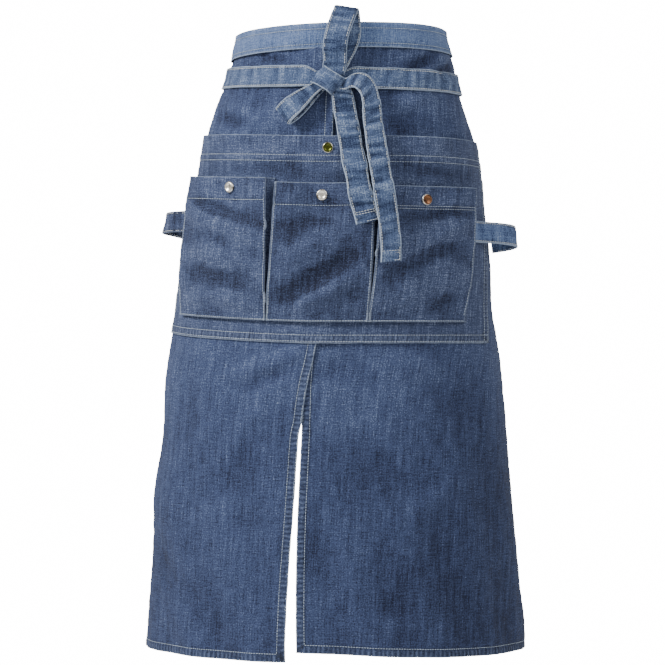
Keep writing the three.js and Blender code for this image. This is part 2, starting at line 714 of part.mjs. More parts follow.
function capProfile() {
  const radius = SNAP_DIAMETER / 2;
  return [
    [0, 0],
    [radius * 0.82, 0],
    [radius, SNAP_HEIGHT * 0.2],
    [radius, SNAP_HEIGHT * 0.45],
    [radius * 0.86, SNAP_HEIGHT * 0.72],
    [radius * 0.5, SNAP_HEIGHT * 0.94],
    [0, SNAP_HEIGHT],
  ].map(([x, y]) => new THREE.Vector2(x, y));
}

// A turned piece set over the panel with its axis along the cloth's outward normal.
function seated(name, profile, around, z, lift, finish) {
  const mesh = add(name, new THREE.LatheGeometry(profile, SNAP_SIDES), finish);
  const reach = SNAP_DIAMETER / 2;
  const acrossTo = onPanel(around + reach, z, lift).sub(onPanel(around - reach, z, lift));
  const upTo = onPanel(around, z + reach, lift).sub(onPanel(around, z - reach, lift));
  mesh.position.copy(onPanel(around, z, lift));
  mesh.quaternion.setFromUnitVectors(new THREE.Vector3(0, 1, 0), acrossTo.cross(upTo).normalize());
}

seated("snap_panel", capProfile(), 0, PANEL_TOP - SNAP_DROP, PIECE_GAP, BRASS);

POCKETS.forEach((pocket) => {
  const around = pocketMiddle(pocket) + pocket.snap * halfPocket(pocket);
  const z = pocketTop(pocket) - pocket.snapDrop * SNAP_DROP;
  const inside = LAYER_GAP + SNAP_PINCH; // between the panel and the pocket's front
  seated(`snap_${pocket.name}`, capProfile(), around, z, inside + CLOTH + PIECE_GAP, NICKEL);
  const radius = STUD_DIAMETER / 2;
  const thick = inside - 2 * PIECE_GAP;
  const stud = [
    [0, 0],
    [radius, 0],
    [radius, thick * 0.4],
    [radius * 0.6, thick],
    [0, thick],
  ].map(([x, y]) => new THREE.Vector2(x, y));
  seated(`stud_${pocket.name}`, stud, around, z, PIECE_GAP, NICKEL);
});

// Straps: the ties, the bow and the tool loops

// A flat strap through stations, each { at, width }: the middle, and the unit vector across it.
// toWorld turns its own space into the apron's.
function strap(stations, toWorld) {
  const rings = stations.map(({ at, width }, i) => {
    const before = stations[Math.max(i - 1, 0)].at;
    const after = stations[Math.min(i + 1, stations.length - 1)].at;
    const along = after.clone().sub(before).normalize();
    const normal = along.clone().cross(width).normalize();
    const corner = (side, face) =>
      at
        .clone()
        .addScaledVector(width, (side * TIE_WIDTH) / 2)
        .addScaledVector(normal, (face * TIE_THICKNESS) / 2);
    return [corner(-1, 1), corner(1, 1), corner(1, -1), corner(-1, -1)].map(toWorld);
  });
  return loft(rings);
}

const clothSpace = (point) => onCloth(point.x, point.y, point.z);

// A smooth route through rows of { at, width }, in finer steps.
function smoothStations(rows, count) {
  const middle = new THREE.CatmullRomCurve3(rows.map((row) => row.at), false, "centripetal");
  const widths = new THREE.CatmullRomCurve3(rows.map((row) => row.width), false, "centripetal");
  return steps(0, 1, count).map((t) => ({ at: middle.getPoint(t), width: widths.getPoint(t).normalize() }));
}

const KNOT_HEIGHT_AT = -TIE_DROP - KNOT_THICKNESS * 0.6;
const KNOT_LIFT = TIE_THICKNESS + KNOT_THICKNESS * 0.56;
const knotMiddle = new THREE.Vector3(KNOT_SIDE, KNOT_HEIGHT_AT, KNOT_LIFT);

// The knot: a rounded block with the strap's edges across it. grow makes it larger all round.
function knotGeometry(grow) {
  const ball = new THREE.SphereGeometry(1, 16, 10);
  const place = ball.getAttribute("position");
  const turn = radians(KNOT_ANGLE);
  const size = new THREE.Vector3(KNOT_LENGTH, KNOT_HEIGHT, KNOT_THICKNESS).multiplyScalar(0.5).addScalar(grow);
  const point = new THREE.Vector3();
  const squareness = 0.72;
  for (let i = 0; i < place.count; i += 1) {
    point.fromBufferAttribute(place, i);
    const squared = point
      .toArray()
      .map((value, k) => Math.sign(value) * Math.abs(value) ** squareness * size.getComponent(k));
    const across = squared[0] * Math.cos(turn) - squared[1] * Math.sin(turn);
    const up = squared[0] * Math.sin(turn) + squared[1] * Math.cos(turn);
    const world = onCloth(knotMiddle.x + across, knotMiddle.y + up, knotMiddle.z + squared[2]);
    place.setXYZ(i, world.x, world.y, world.z);
  }
  ball.deleteAttribute("normal");
  ball.deleteAttribute("uv");
  const merged = mergeVertices(ball, 1e-3);
  merged.computeVertexNormals();
  return merged;
}

add("bow_knot", knotGeometry(0), WORN_DENIM);
const knotBlocker = toManifold(knotGeometry(PIECE_GAP * 1.3));

const TIE_STEPS = 50;
const BAND_OVERLAP = 14; // the tie's end is sewn on the band's end
const BAND_SHARE = 0.06; // of the tie's way, over the band

// A tie from the band's far back end, round behind the body and along its side to the knot.
// side: the side that it comes along, -1 left or 1 right.
function tie(side, route) {
  const waist = sectionAt(0);
  const start = -side * (bandEnd - BAND_OVERLAP);
  const startAngle = angleAt(waist, start);
  const endAngle = angleAt(waist, KNOT_SIDE + side * KNOT_LENGTH * 0.3) - side * 2 * Math.PI;
  const rings = steps(0, 1, TIE_STEPS).map((share) => {
    const layers = read(route, "round", "clear", share) * (TIE_THICKNESS + LAYER_GAP);
    const onBand = share < BAND_SHARE ? BAND_FACE : 0;
    const lift = LAYER_GAP + TIE_THICKNESS / 2 + Math.max(layers, onBand);
    const middle = bandShift(start) * (1 - share) - read(route, "round", "fall", share) * TIE_DROP;
    const angle = mix(startAngle, endAngle, share);
    const corner = (edge, face) => {
      const z = middle + (edge * TIE_WIDTH) / 2;
      const around = aroundAt(sectionAt(z), angle);
      return onCloth(around, z, lift + (face * TIE_THICKNESS) / 2);
    };
    return [corner(-1, 1), corner(1, 1), corner(1, -1), corner(-1, -1)];
  });
  return loft(rings);
}

add("tie_left", clearOf(tie(-1, TIE_ROUTES.left), knotBlocker), WORN_DENIM);
add("tie_right", clearOf(tie(1, TIE_ROUTES.right), knotBlocker), WORN_DENIM);

// A strap of the bow from its table. heading: degrees, the way that `along` runs on the cloth.
// `across` runs to the right of it.
function bowStrap(table, length, heading, count) {
  const way = new THREE.Vector2(Math.cos(radians(heading)), Math.sin(radians(heading)));
  const side = new THREE.Vector2(way.y, -way.x).multiplyScalar(Math.sign(way.y));
  const rows = table.map((row) => {
    const along = row.along * length;
    const across = row.across * TIE_WIDTH;
    const lean = Math.atan2(side.y, side.x) + radians(row.lean);
    const flat = Math.cos(radians(row.roll));
    return {
      at: new THREE.Vector3(
        knotMiddle.x + way.x * along + side.x * across,
        knotMiddle.y + way.y * along + side.y * across,
        row.lift * KNOT_THICKNESS,
      ),
      width: new THREE.Vector3(flat * Math.cos(lean), flat * Math.sin(lean), Math.sin(radians(row.roll))),
    };
  });
  return clearOf(strap(smoothStations(rows, count), clothSpace), knotBlocker);
}

const UP = 90;
const DOWN = -90;
const LOWER_LOOP_HEADING = 220;

add("bow_loop_upper", bowStrap(UPPER_LOOP, UPPER_LOOP_LENGTH, UP, 26), WORN_DENIM);
add("bow_loop_lower", bowStrap(LOWER_LOOP, LOWER_LOOP_LENGTH, LOWER_LOOP_HEADING, 22), WORN_DENIM);

add("tail_short", bowStrap(SHORT_TAIL, SHORT_TAIL_LENGTH, DOWN, 26), WORN_DENIM);
add("tail_long", bowStrap(LONG_TAIL, LONG_TAIL_LENGTH, DOWN, 34), WORN_DENIM);

// Tool loops: a strap sewn flat on the panel, standing off past the panel's end and sewn down
// behind it. out: share of TOOL_LOOP_REACH. lift: share of TOOL_LOOP_BULGE. fall: share of
// TIE_WIDTH, down.
const TOOL_LOOP = [
  { out: -0.28, lift: 0, fall: 0 },
  { out: 0, lift: 0, fall: 0 },
  { out: 0.22, lift: 0.2, fall: 0.02 },
  { out: 0.5, lift: 0.62, fall: 0.06 },
  { out: 0.78, lift: 0.92, fall: 0.12 },
  { out: 1, lift: 1, fall: 0.18 },
  { out: 1.16, lift: 0.86, fall: 0.26 },
  { out: 1.2, lift: 0.6, fall: 0.34 },
  { out: 1.14, lift: 0.34, fall: 0.4 },
  { out: 1.04, lift: 0.14, fall: 0.44 },
  { out: 1, lift: 0, fall: 0.46 },
];
const TOOL_LOOP_STEPS = 22;

function toolLoop(side) {
  const start = PANEL_SIDE + side * TOOL_LOOP_START;
  const rows = TOOL_LOOP.map(({ out, lift, fall }) => ({
    at: new THREE.Vector3(
      start + side * out * TOOL_LOOP_REACH,
      PANEL_TOP - TOOL_LOOP_DROP - fall * TIE_WIDTH,
      LAYER_GAP + TIE_THICKNESS / 2 + lift * TOOL_LOOP_BULGE,
    ),
    width: new THREE.Vector3(0, side, 0),
  }));
  const panelSpace = (point) => onPanel(point.x, point.y, point.z);
  return strap(smoothStations(rows, TOOL_LOOP_STEPS), panelSpace);
}

add("tool_loop_left", toolLoop(-1), DENIM);
add("tool_loop_right", toolLoop(1), DENIM);

export default apron;
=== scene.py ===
"""A long denim waist apron as it hangs when worn, dressed over its frame.

Every cloth piece lies on one surface: u runs round the form from the front seam, z is the
height and lift stands off the skirt's face, all in millimetres. Left is -X.
"""

import logging
import math
from collections.abc import Callable, Sequence
from dataclasses import dataclass, field
from enum import Enum

import bmesh
import bpy
import numpy as np
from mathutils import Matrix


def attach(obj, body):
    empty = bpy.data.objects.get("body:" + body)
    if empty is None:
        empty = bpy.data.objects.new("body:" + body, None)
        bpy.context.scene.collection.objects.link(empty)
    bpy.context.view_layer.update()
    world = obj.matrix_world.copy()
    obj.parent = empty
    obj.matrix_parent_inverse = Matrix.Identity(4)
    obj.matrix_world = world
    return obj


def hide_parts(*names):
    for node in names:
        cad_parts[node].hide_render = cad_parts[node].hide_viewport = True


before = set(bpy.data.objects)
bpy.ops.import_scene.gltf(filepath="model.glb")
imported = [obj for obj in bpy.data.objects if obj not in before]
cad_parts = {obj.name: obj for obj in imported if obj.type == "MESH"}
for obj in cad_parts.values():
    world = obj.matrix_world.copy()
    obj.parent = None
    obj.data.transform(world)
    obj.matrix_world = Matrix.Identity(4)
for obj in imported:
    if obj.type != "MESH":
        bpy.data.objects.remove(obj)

Array = np.ndarray
Surface = Callable[[Array, Array, Array], Array]
Socket = bpy.types.NodeSocket
LOG = logging.getLogger("apron")
MM = 0.001
TOP = 15.0  # the waistband's top edge
LENGTH = 732.0
STRAP_WIDTH = 25.0
STRAP_THICK = 2.4
STRAP_STITCH = 2.0  # from a strap's edge to its stitch line
INSIDE, BOTH_WAYS = -1.0, 0.0  # where a sheet's wall stands to its grid


def smooth(share: Array) -> Array:
    """Smoothstep of a share, held between 0 and 1."""
    held = np.clip(share, 0.0, 1.0)
    return held * held * (3.0 - 2.0 * held)


def mix(low: Array, high: Array, share: Array) -> Array:
    """Straight mix of two values."""
    return low + (high - low) * share


def table_curve(table: Sequence[Sequence[float]], column: int, place: Array) -> Array:
    """Read a column of a table on a smooth curve that never overshoots.

    Args:
        table: rows, with the place in column 0, rising.
        column: the column to read.
        place: where to read it.

    Returns:
        The column's value at each place.
    """
    rows = np.asarray(table, dtype=float)
    x, y = rows[:, 0], rows[:, column]
    chord = np.diff(y) / np.diff(x)
    slope = np.zeros(len(x))
    both = chord[:-1] * chord[1:]
    total = np.where(both > 0, chord[:-1] + chord[1:], 1.0)
    slope[1:-1] = np.where(both > 0, 2.0 * both / total, 0.0)
    held = np.clip(np.asarray(place, dtype=float), x[0], x[-1])
    i = np.clip(np.searchsorted(x, held, side="right") - 1, 0, len(x) - 2)
    width = x[i + 1] - x[i]
    t = (held - x[i]) / width
    t2, t3 = t * t, t * t * t
    start = (2 * t3 - 3 * t2 + 1) * y[i] + (t3 - 2 * t2 + t) * width * slope[i]
    return start + (3 * t2 - 2 * t3) * y[i + 1] + (t3 - t2) * width * slope[i + 1]


def spaced(low: float, high: float, pitch: float, kept: Sequence[float] = ()) -> Array:
    """Even grid places that also hit some places exactly.

    Args:
        low: first place.
        high: last place.
        pitch: usual step.
        kept: places that the grid must have.

    Returns:
        The rising places.
    """
    fixed = np.array(sorted({low, high, *(k for k in kept if low < k < high)}))
    parts = [
        np.linspace(a, b, max(1, round((b - a) / pitch)) + 1)[:-1] for a, b in zip(fixed, fixed[1:])
    ]
    return np.concatenate([*parts, [high]])


def path_length(points: Array) -> Array:
    """Distance along a row of points, from 0 at the first one."""
    return np.concatenate([[0], np.cumsum(np.linalg.norm(np.diff(points, axis=0), axis=1))])


def strap_places(half: float) -> Array:
    """Grid places across a strap of some half width, close together at both edges."""
    edge = np.array([0.0, 0.7, STRAP_STITCH, 3.2])
    return np.concatenate([edge - half, [-6, -3, 0, 3, 6], half - edge[::-1]])


def points_of(mesh: bpy.types.Mesh) -> Array:
    """A mesh's vertices as an array of points, in metres."""
    flat = np.empty(len(mesh.vertices) * 3)
    mesh.vertices.foreach_get("co", flat)
    return flat.reshape(-1, 3)


def placed(name: str, data: bpy.types.ID) -> bpy.types.Object:
    """A new object in the scene."""
    made = bpy.data.objects.new(name, data)
    bpy.context.scene.collection.objects.link(made)
    return made


@dataclass
class Ripple:
    """A smooth random field made of plane waves, about -1 to 1."""

    seed: int
    wave: float
    turn: float = 0.0
    spread: float = math.pi
    stretch: float = 1.0
    count: int = 26

    def at(self, u: Array, z: Array) -> Array:
        """The field's height at a place on the cloth.

        Args:
            u: first coordinate.
            z: second coordinate.

        Returns:
            One height for each place.
        """
        rng = np.random.default_rng(self.seed)
        angle = math.radians(self.turn) + rng.uniform(-self.spread, self.spread, self.count) / 2
        number = 2 * math.pi / (self.wave * rng.uniform(0.65, 1.6, self.count))
        phase = rng.uniform(0, 2 * math.pi, self.count)
        total = np.zeros(np.broadcast(u, z).shape)
        for a, k, p in zip(angle, number, phase):
            total += np.cos(k * (u * math.cos(a) + z / self.stretch * math.sin(a)) + p)
        return total / math.sqrt(self.count / 2) / 1.8

    def creased(self, u: Array, z: Array) -> Array:
        """The same field with sharp ridges, as cloth that was folded and flattened."""
        return 1.0 - 2.0 * np.abs(self.at(u, z)) ** 0.7


@dataclass(frozen=True)
class Fold:
    """A ridge or a valley along a line of (u, z) points on the cloth."""

    line: tuple[tuple[float, float], ...]
    height: float
    width: float

    def at(self, u: Array, z: Array) -> Array:
        """The fold's height at a place on the cloth.

        Args:
            u: arc length from the seam.
            z: height.

        Returns:
            One height for each place.
        """
        points = np.asarray(self.line, dtype=float)
        runs = np.hypot(*np.diff(points, axis=0).T)
        whole = runs.sum()
        best = np.full(np.shape(u), 1e9)
        share = np.zeros(np.shape(u))
        done = 0.0
        for start, end, run in zip(points, points[1:], runs):
            way = (end - start) / run
            along = np.clip((u - start[0]) * way[0] + (z - start[1]) * way[1], 0, run)
            away = np.hypot(u - start[0] - way[0] * along, z - start[1] - way[1] * along)
            nearer = away < best
            best = np.where(nearer, away, best)
            share = np.where(nearer, (done + along) / whole, share)
            done += run
        body = np.exp(-((best / self.width) ** 2)) - 0.3 * np.exp(-((best / self.width - 2.1) ** 2))
        return self.height * body * np.sin(math.pi * np.clip(share, 0.04, 0.96)) ** 0.7


def folds_at(folds: Sequence[Fold], u: Array, z: Array) -> Array:
    """Sum of some folds at a place on the cloth."""
    total = np.zeros(np.broadcast(u, z).shape)
    for fold in folds:
        total += fold.at(u, z)
    return total


@dataclass
class HungForm:
    """The form in which the cloth hangs: level ellipses from the waist to the hem."""

    waist: tuple[float, float] = (250.0, 190.0)
    hem: tuple[float, float] = (450.0, 300.0)
    hem_lean: float = -11.5
    seam_turn: float = -8.3
    back_gap: tuple[float, float] = (112.0, 228.0)
    top_lean: float = 4.0
    lean_from: tuple[float, float] = (90.0, -20.0)
    lean_over: tuple[float, float] = (70.0, 34.0)
    # drop, flare, deep, lean, turn
    sections: tuple[tuple[float, ...], ...] = (
        (0, 0, 0, 0, 0),
        (0.04, 0.055, 0.06, 0.03, 0),
        (0.1, 0.19, 0.22, 0.25, 0),
        (0.16, 0.325, 0.4, 0.33, 0),
        (0.23, 0.435, 0.55, 0.36, 0),
        (0.3, 0.53, 0.62, 0.5, 0.02),
        (0.37, 0.59, 0.655, 0.66, 0.08),
        (0.44, 0.64, 0.68, 0.84, 0.19),
        (0.51, 0.725, 0.71, 0.94, 0.36),
        (0.57, 0.77, 0.74, 0.96, 0.6),
        (0.63, 0.815, 0.78, 0.96, 0.74),
        (0.75, 0.89, 0.86, 0.96, 0.84),
        (0.88, 0.96, 0.94, 0.98, 0.95),
        (1, 1, 1, 1, 1),
    )
    # round, spread, from, depth
    drapes: tuple[tuple[float, ...], ...] = (
        (0.18, 0.09, 0.5, 0.018),
        (0.4, 0.08, 0.55, -0.012),
        (-0.06, 0.06, 0.62, 0.012),
        (-0.28, 0.08, 0.55, -0.01),
        (0.62, 0.07, 0.4, 0.018),
        (-0.64, 0.07, 0.4, 0.02),
        (0.76, 0.08, 0.35, -0.026),
        (-0.78, 0.08, 0.35, -0.024),
    )
    pitch: float = 4.0
    reach: float = 760.0
    lowest: float = -764.0
    highest: float = 60.0
    turn_steps: int = 1520

    def __post_init__(self) -> None:
        """Tabulate the angle round the form over the arc length, height by height."""
        self.heights = np.arange(self.lowest, self.highest, self.pitch)
        self.rounds = np.arange(-self.reach, self.reach + 1, self.pitch)
        self.angles = np.array([self._angles(z) for z in self.heights])
        self.half_hem = self.half_round(np.array([TOP - LENGTH]))[0]

    @staticmethod
    def drop(z: Array) -> Array:
        """Share of the length below the waistband's top edge."""
        return (TOP - z) / LENGTH

    def section(self, z: Array) -> tuple[Array, Array, Array, Array]:
        """Half width, half depth, seam angle and middle of the level section at z.

        Args:
            z: height.

        Returns:
            The four values, lengths in millimetres and the angle in radians.
        """
        drop = self.drop(z)
        wide = mix(self.waist[0], self.hem[0], table_curve(self.sections, 1, drop)) / 2
        deep = mix(self.waist[1], self.hem[1], table_curve(self.sections, 2, drop)) / 2
        seam = math.radians(self.seam_turn) * table_curve(self.sections, 4, drop)
        return wide, deep, seam, self.hem_lean * table_curve(self.sections, 3, drop)

    def _angles(self, z: float) -> Array:
        """Angles for each tabulated arc length at one height.

        Args:
            z: height.

        Returns:
            One angle for each of the tabulated arc lengths.
        """
        wide, deep, seam, _ = self.section(np.array(z))
        angle = seam + np.linspace(-1.9, 1.9, self.turn_steps + 1) * math.pi
        step = angle[1] - angle[0]
        middle = (angle[1:] + angle[:-1]) / 2
        arc = np.concatenate([[0], np.cumsum(np.hypot(wide * np.cos(middle), deep * np.sin(middle)))])
        arc = (arc - arc[self.turn_steps // 2]) * step
        return np.interp(self.rounds, arc, angle)

    def angle(self, u: Array, z: Array) -> Array:
        """The angle round the form at an arc length and height, by bilinear reading.

        Args:
            u: arc length from the seam.
            z: height.

        Returns:
            The angle in radians, 0 straight ahead.
        """
        row = np.clip((z - self.heights[0]) / self.pitch, 0, len(self.heights) - 1.001)
        column = np.clip((u + self.reach) / self.pitch, 0, len(self.rounds) - 1.001)
        r, c = row.astype(int), column.astype(int)
        fr, fc = row - r, column - c
        low = mix(self.angles[r, c], self.angles[r, c + 1], fc)
        high = mix(self.angles[r + 1, c], self.angles[r + 1, c + 1], fc)
        return mix(low, high, fr)

    def around(self, angle: Array, z: Array) -> Array:
        """The arc length from the front seam of an angle at one height each.

        Args:
            angle: angles in radians.
            z: a height for each.

        Returns:
            The arc lengths.
        """
        result = np.empty(len(z))
        for i, (a, height) in enumerate(zip(angle, z)):
            row = self._angles(height)
            turned = (a - row[len(row) // 2] + math.pi) % (2 * math.pi) - math.pi
            result[i] = np.interp(turned + row[len(row) // 2], row, self.rounds)
        return result

    def half_round(self, z: Array) -> Array:
        """Half the way round the form at some heights.

        Args:
            z: heights.

        Returns:
            Half the girth at each height.
        """
        result = []
        for height in np.atleast_1d(z):
            row = self._angles(height)
            result.append(np.interp(row[len(row) // 2] + math.pi, row, self.rounds))
        return np.array(result)

    def back_edge(self, z: Array) -> Array:
        """Arc length from the seam to the skirt's back edge."""
        heights = np.linspace(TOP - LENGTH, TOP, 40)
        edge = self.half_round(heights) - mix(*self.back_gap, self.drop(heights)) / 2
        return np.interp(z, heights, edge)

    def drape(self, u: Array, z: Array) -> Array:
        """How far the soft upright folds push the cloth out.

        Args:
            u: arc length from the seam.
            z: height.

        Returns:
            The push outward, in millimetres.
        """
        drop = self.drop(z)
        out = np.zeros(np.broadcast(u, z).shape)
        for middle, spread, start, depth in self.drapes:
            grown = np.clip((drop - start) / (1 - start), 0, None) ** 1.6
            out += depth * self.hem[1] * grown * np.exp(-(((u / self.half_hem - middle) / spread) ** 2))
        return out

    def place(self, u: Array, z: Array, lift: Array) -> Array:
        """Points on the form, in millimetres.

        Args:
            u: arc length from the front seam.
            z: height.
            lift: distance outside the skirt's face.

        Returns:
            An array of points, three columns.
        """
        u, z, lift = np.broadcast_arrays(
            np.asarray(u, float), np.asarray(z, float), np.asarray(lift, float)
        )
        wide, deep, _, middle = self.section(z)
        angle = self.angle(u, z)
        sine, cosine = np.sin(angle), np.cos(angle)
        nx, ny = sine / wide, -cosine / deep
        size = np.hypot(nx, ny)
        aside = smooth((u - self.lean_from[0]) / self.lean_over[0])
        above = smooth((z - self.lean_from[1]) / self.lean_over[1])
        out = lift + self.drape(u, z) - self.top_lean * aside * above
        x = middle + wide * sine + nx / size * out
        return np.stack([x, -deep * cosine + ny / size * out, z], axis=-1)


@dataclass
class Drape:
    """The cloth on its form: its laps, its layers and the creases that all layers share."""

    form: HungForm
    hem_cloth: float = 2.0
    layer_gap: float = 0.7
    cloth: float = 1.2
    lap_over: float = 5.0
    lap_under: float = 9.0
    ramp: float = 44.0
    slit_opening: float = 14.0
    panel_width: float = 452.0
    panel_side: float = -3.0
    panel_top: float = -115.0
    panel_height: float = 238.0
    panel_lift: float = 12.0
    panel_stand: float = 9.0
    fold_gain: float = 1.5
    # drop, lap, gape
    slit: tuple[tuple[float, ...], ...] = (
        (0, 1, 0),
        (0.48, 1, 0),
        (0.55, 0.55, 0),
        (0.62, 0.06, 0),
        (0.65, 0, 0.38),
        (0.75, 0, 0.56),
        (0.88, 0, 0.86),
        (1, 0, 1),
    )
    skirt_folds: tuple[Fold, ...] = (
        Fold(((-96, -392), (-38, -375), (-6, -358)), 2.4, 9),
        Fold(((-90, -408), (-40, -391), (-14, -380)), -1.6, 8),
        Fold(((-97, -483), (-60, -440), (-37, -417)), 1.8, 10),
        Fold(((-121, -555), (-80, -540), (-47, -530)), 1.6, 12),
        Fold(((7, -386), (55, -386)), -1.8, 12),
        Fold(((60, -372), (130, -380), (190, -405)), 1.6, 11),
        Fold(((124, -551), (189, -517)), 1.8, 12),
        Fold(((92, -659), (134, -653)), -1.4, 12),
        Fold(((60, -675), (149, -673)), 1.4, 9),
        Fold(((-210, -600), (-150, -640), (-110, -690)), -1.5, 16),
        Fold(((60, -430), (110, -470), (150, -500)), 1.4, 13),
        Fold(((40, -560), (70, -610), (80, -650)), 1.6, 14),
        Fold(((84, -36), (131, -17)), -4.0, 7),
        Fold(((-96, -19), (-52, -25)), -2.4, 5),
        Fold(((-250, -24), (-145, -25)), 1.8, 8),
        Fold(((155, -23), (250, -24)), 1.8, 8),
        Fold(((128, -38), (191, -22)), -3.8, 7),
        Fold(((-165, -84), (-122, -96), (-92, -98)), -2.8, 8),
        Fold(((60, -86), (107, -70)), 2.6, 8),
        Fold(((-120, -100), (-70, -88), (-30, -92)), 1.2, 9),
        Fold(((40, -100), (90, -106), (150, -96)), -1.0, 9),
    )

    @property
    def single(self) -> float:
        """Share of a hem's thickness where the cloth is single."""
        return self.cloth / self.hem_cloth

    @property
    def panel_ends(self) -> tuple[float, float]:
        """Arc lengths of the pocket panel's left and right edges."""
        return self.panel_side - self.panel_width / 2, self.panel_side + self.panel_width / 2

    @property
    def panel_foot(self) -> float:
        """Height of the pocket panel's bottom edge."""
        return self.panel_top - self.panel_height

    def _gape(self, drop: Array) -> Array:
        """How far each skirt panel's front edge stands back from the seam."""
        return self.slit_opening / 2 * table_curve(self.slit, 2, drop)

    def edge_left(self, z: Array) -> Array:
        """Where the left skirt panel's front edge runs."""
        drop = self.form.drop(z)
        return self.lap_over * table_curve(self.slit, 1, drop) - self._gape(drop)

    def edge_right(self, z: Array) -> Array:
        """Where the right skirt panel's front edge runs."""
        drop = self.form.drop(z)
        near = mix(0.12, 0.87, smooth((drop - 0.76) / 0.26))
        return self._gape(drop) * near - self.lap_under * table_curve(self.slit, 1, drop)

    def relief(self, u: Array, z: Array) -> Array:
        """Creases of the skirt, calmed under the pocket panel and the waistband.

        Args:
            u: arc length from the seam.
            z: height.

        Returns:
            The height of the creases.
        """
        under = smooth((self.panel_top + 4 - z) / 16) * smooth((z - self.panel_foot + 6) / 16)
        beside = smooth((self.panel_width / 2 + 8 - np.abs(u - self.panel_side)) / 20)
        band = smooth((z + 14) / 8)
        free = 1 - np.maximum(under * beside * 0.85, band)
        drop = self.form.drop(z)
        broad = Ripple(11, 95, 70, 2.0, 1.5).at(u, z) * mix(0.9, 2.0, drop)
        small = Ripple(12, 30, 25, 2.4).creased(u, z) * 0.42
        fine = Ripple(13, 13, 10, 2.6).at(u, z) * 0.22
        return free * (broad + small + fine + self.fold_gain * folds_at(self.skirt_folds, u, z))

    def lap_lift(self, u: Array, z: Array) -> Array:
        """How far the left panel climbs on to the right one at the seam."""
        climb = smooth((u + self.lap_under + self.ramp) / self.ramp)
        gape = smooth(table_curve(self.slit, 2, self.form.drop(z)))
        return (self.hem_cloth + self.layer_gap) * climb * mix(1, 0.35, gape)

    def skirt(self, u: Array, z: Array, lift: Array, side: int) -> Array:
        """A point on a skirt panel. side: -1 left, 1 right."""
        climb = self.lap_lift(u, z) if side < 0 else 0.0
        return self.form.place(u, z, lift + climb + self.relief(u, z))

    def over(self, u: Array, z: Array, lift: Array) -> Array:
        """A point on what lies over both skirt panels."""
        beyond = smooth((u - self.lap_over) / self.ramp)
        return self.form.place(u, z, lift + self.lap_lift(u, z) * (1 - beyond) + self.relief(u, z))

    def panel_shift(self, u: Array) -> Array:
        """How much higher the panel hangs towards its left end."""
        return self.panel_lift * np.clip(-2 * u / self.panel_width, 0, None) ** 1.4

    def panel_open(self, u: Array, down: Array) -> Array:
        """How far the panel's mouth stands open at both sides of its snap."""
        share = np.abs(u - self.panel_side) / (self.panel_width / 2)
        bulge = np.sin(math.pi * np.minimum(share, 1)) ** 2
        return self.panel_stand * bulge * (1 - smooth(down * 1.15))

    def panel(self, u: Array, z: Array, lift: Array) -> Array:
        """A point outside the pocket panel's outer face."""
        u, z = np.asarray(u, float), np.asarray(z, float)
        down = (self.panel_top - z) / self.panel_height
        face = self.layer_gap + self.cloth
        return self.over(u, z + self.panel_shift(u), face + self.panel_open(u, down) + lift)


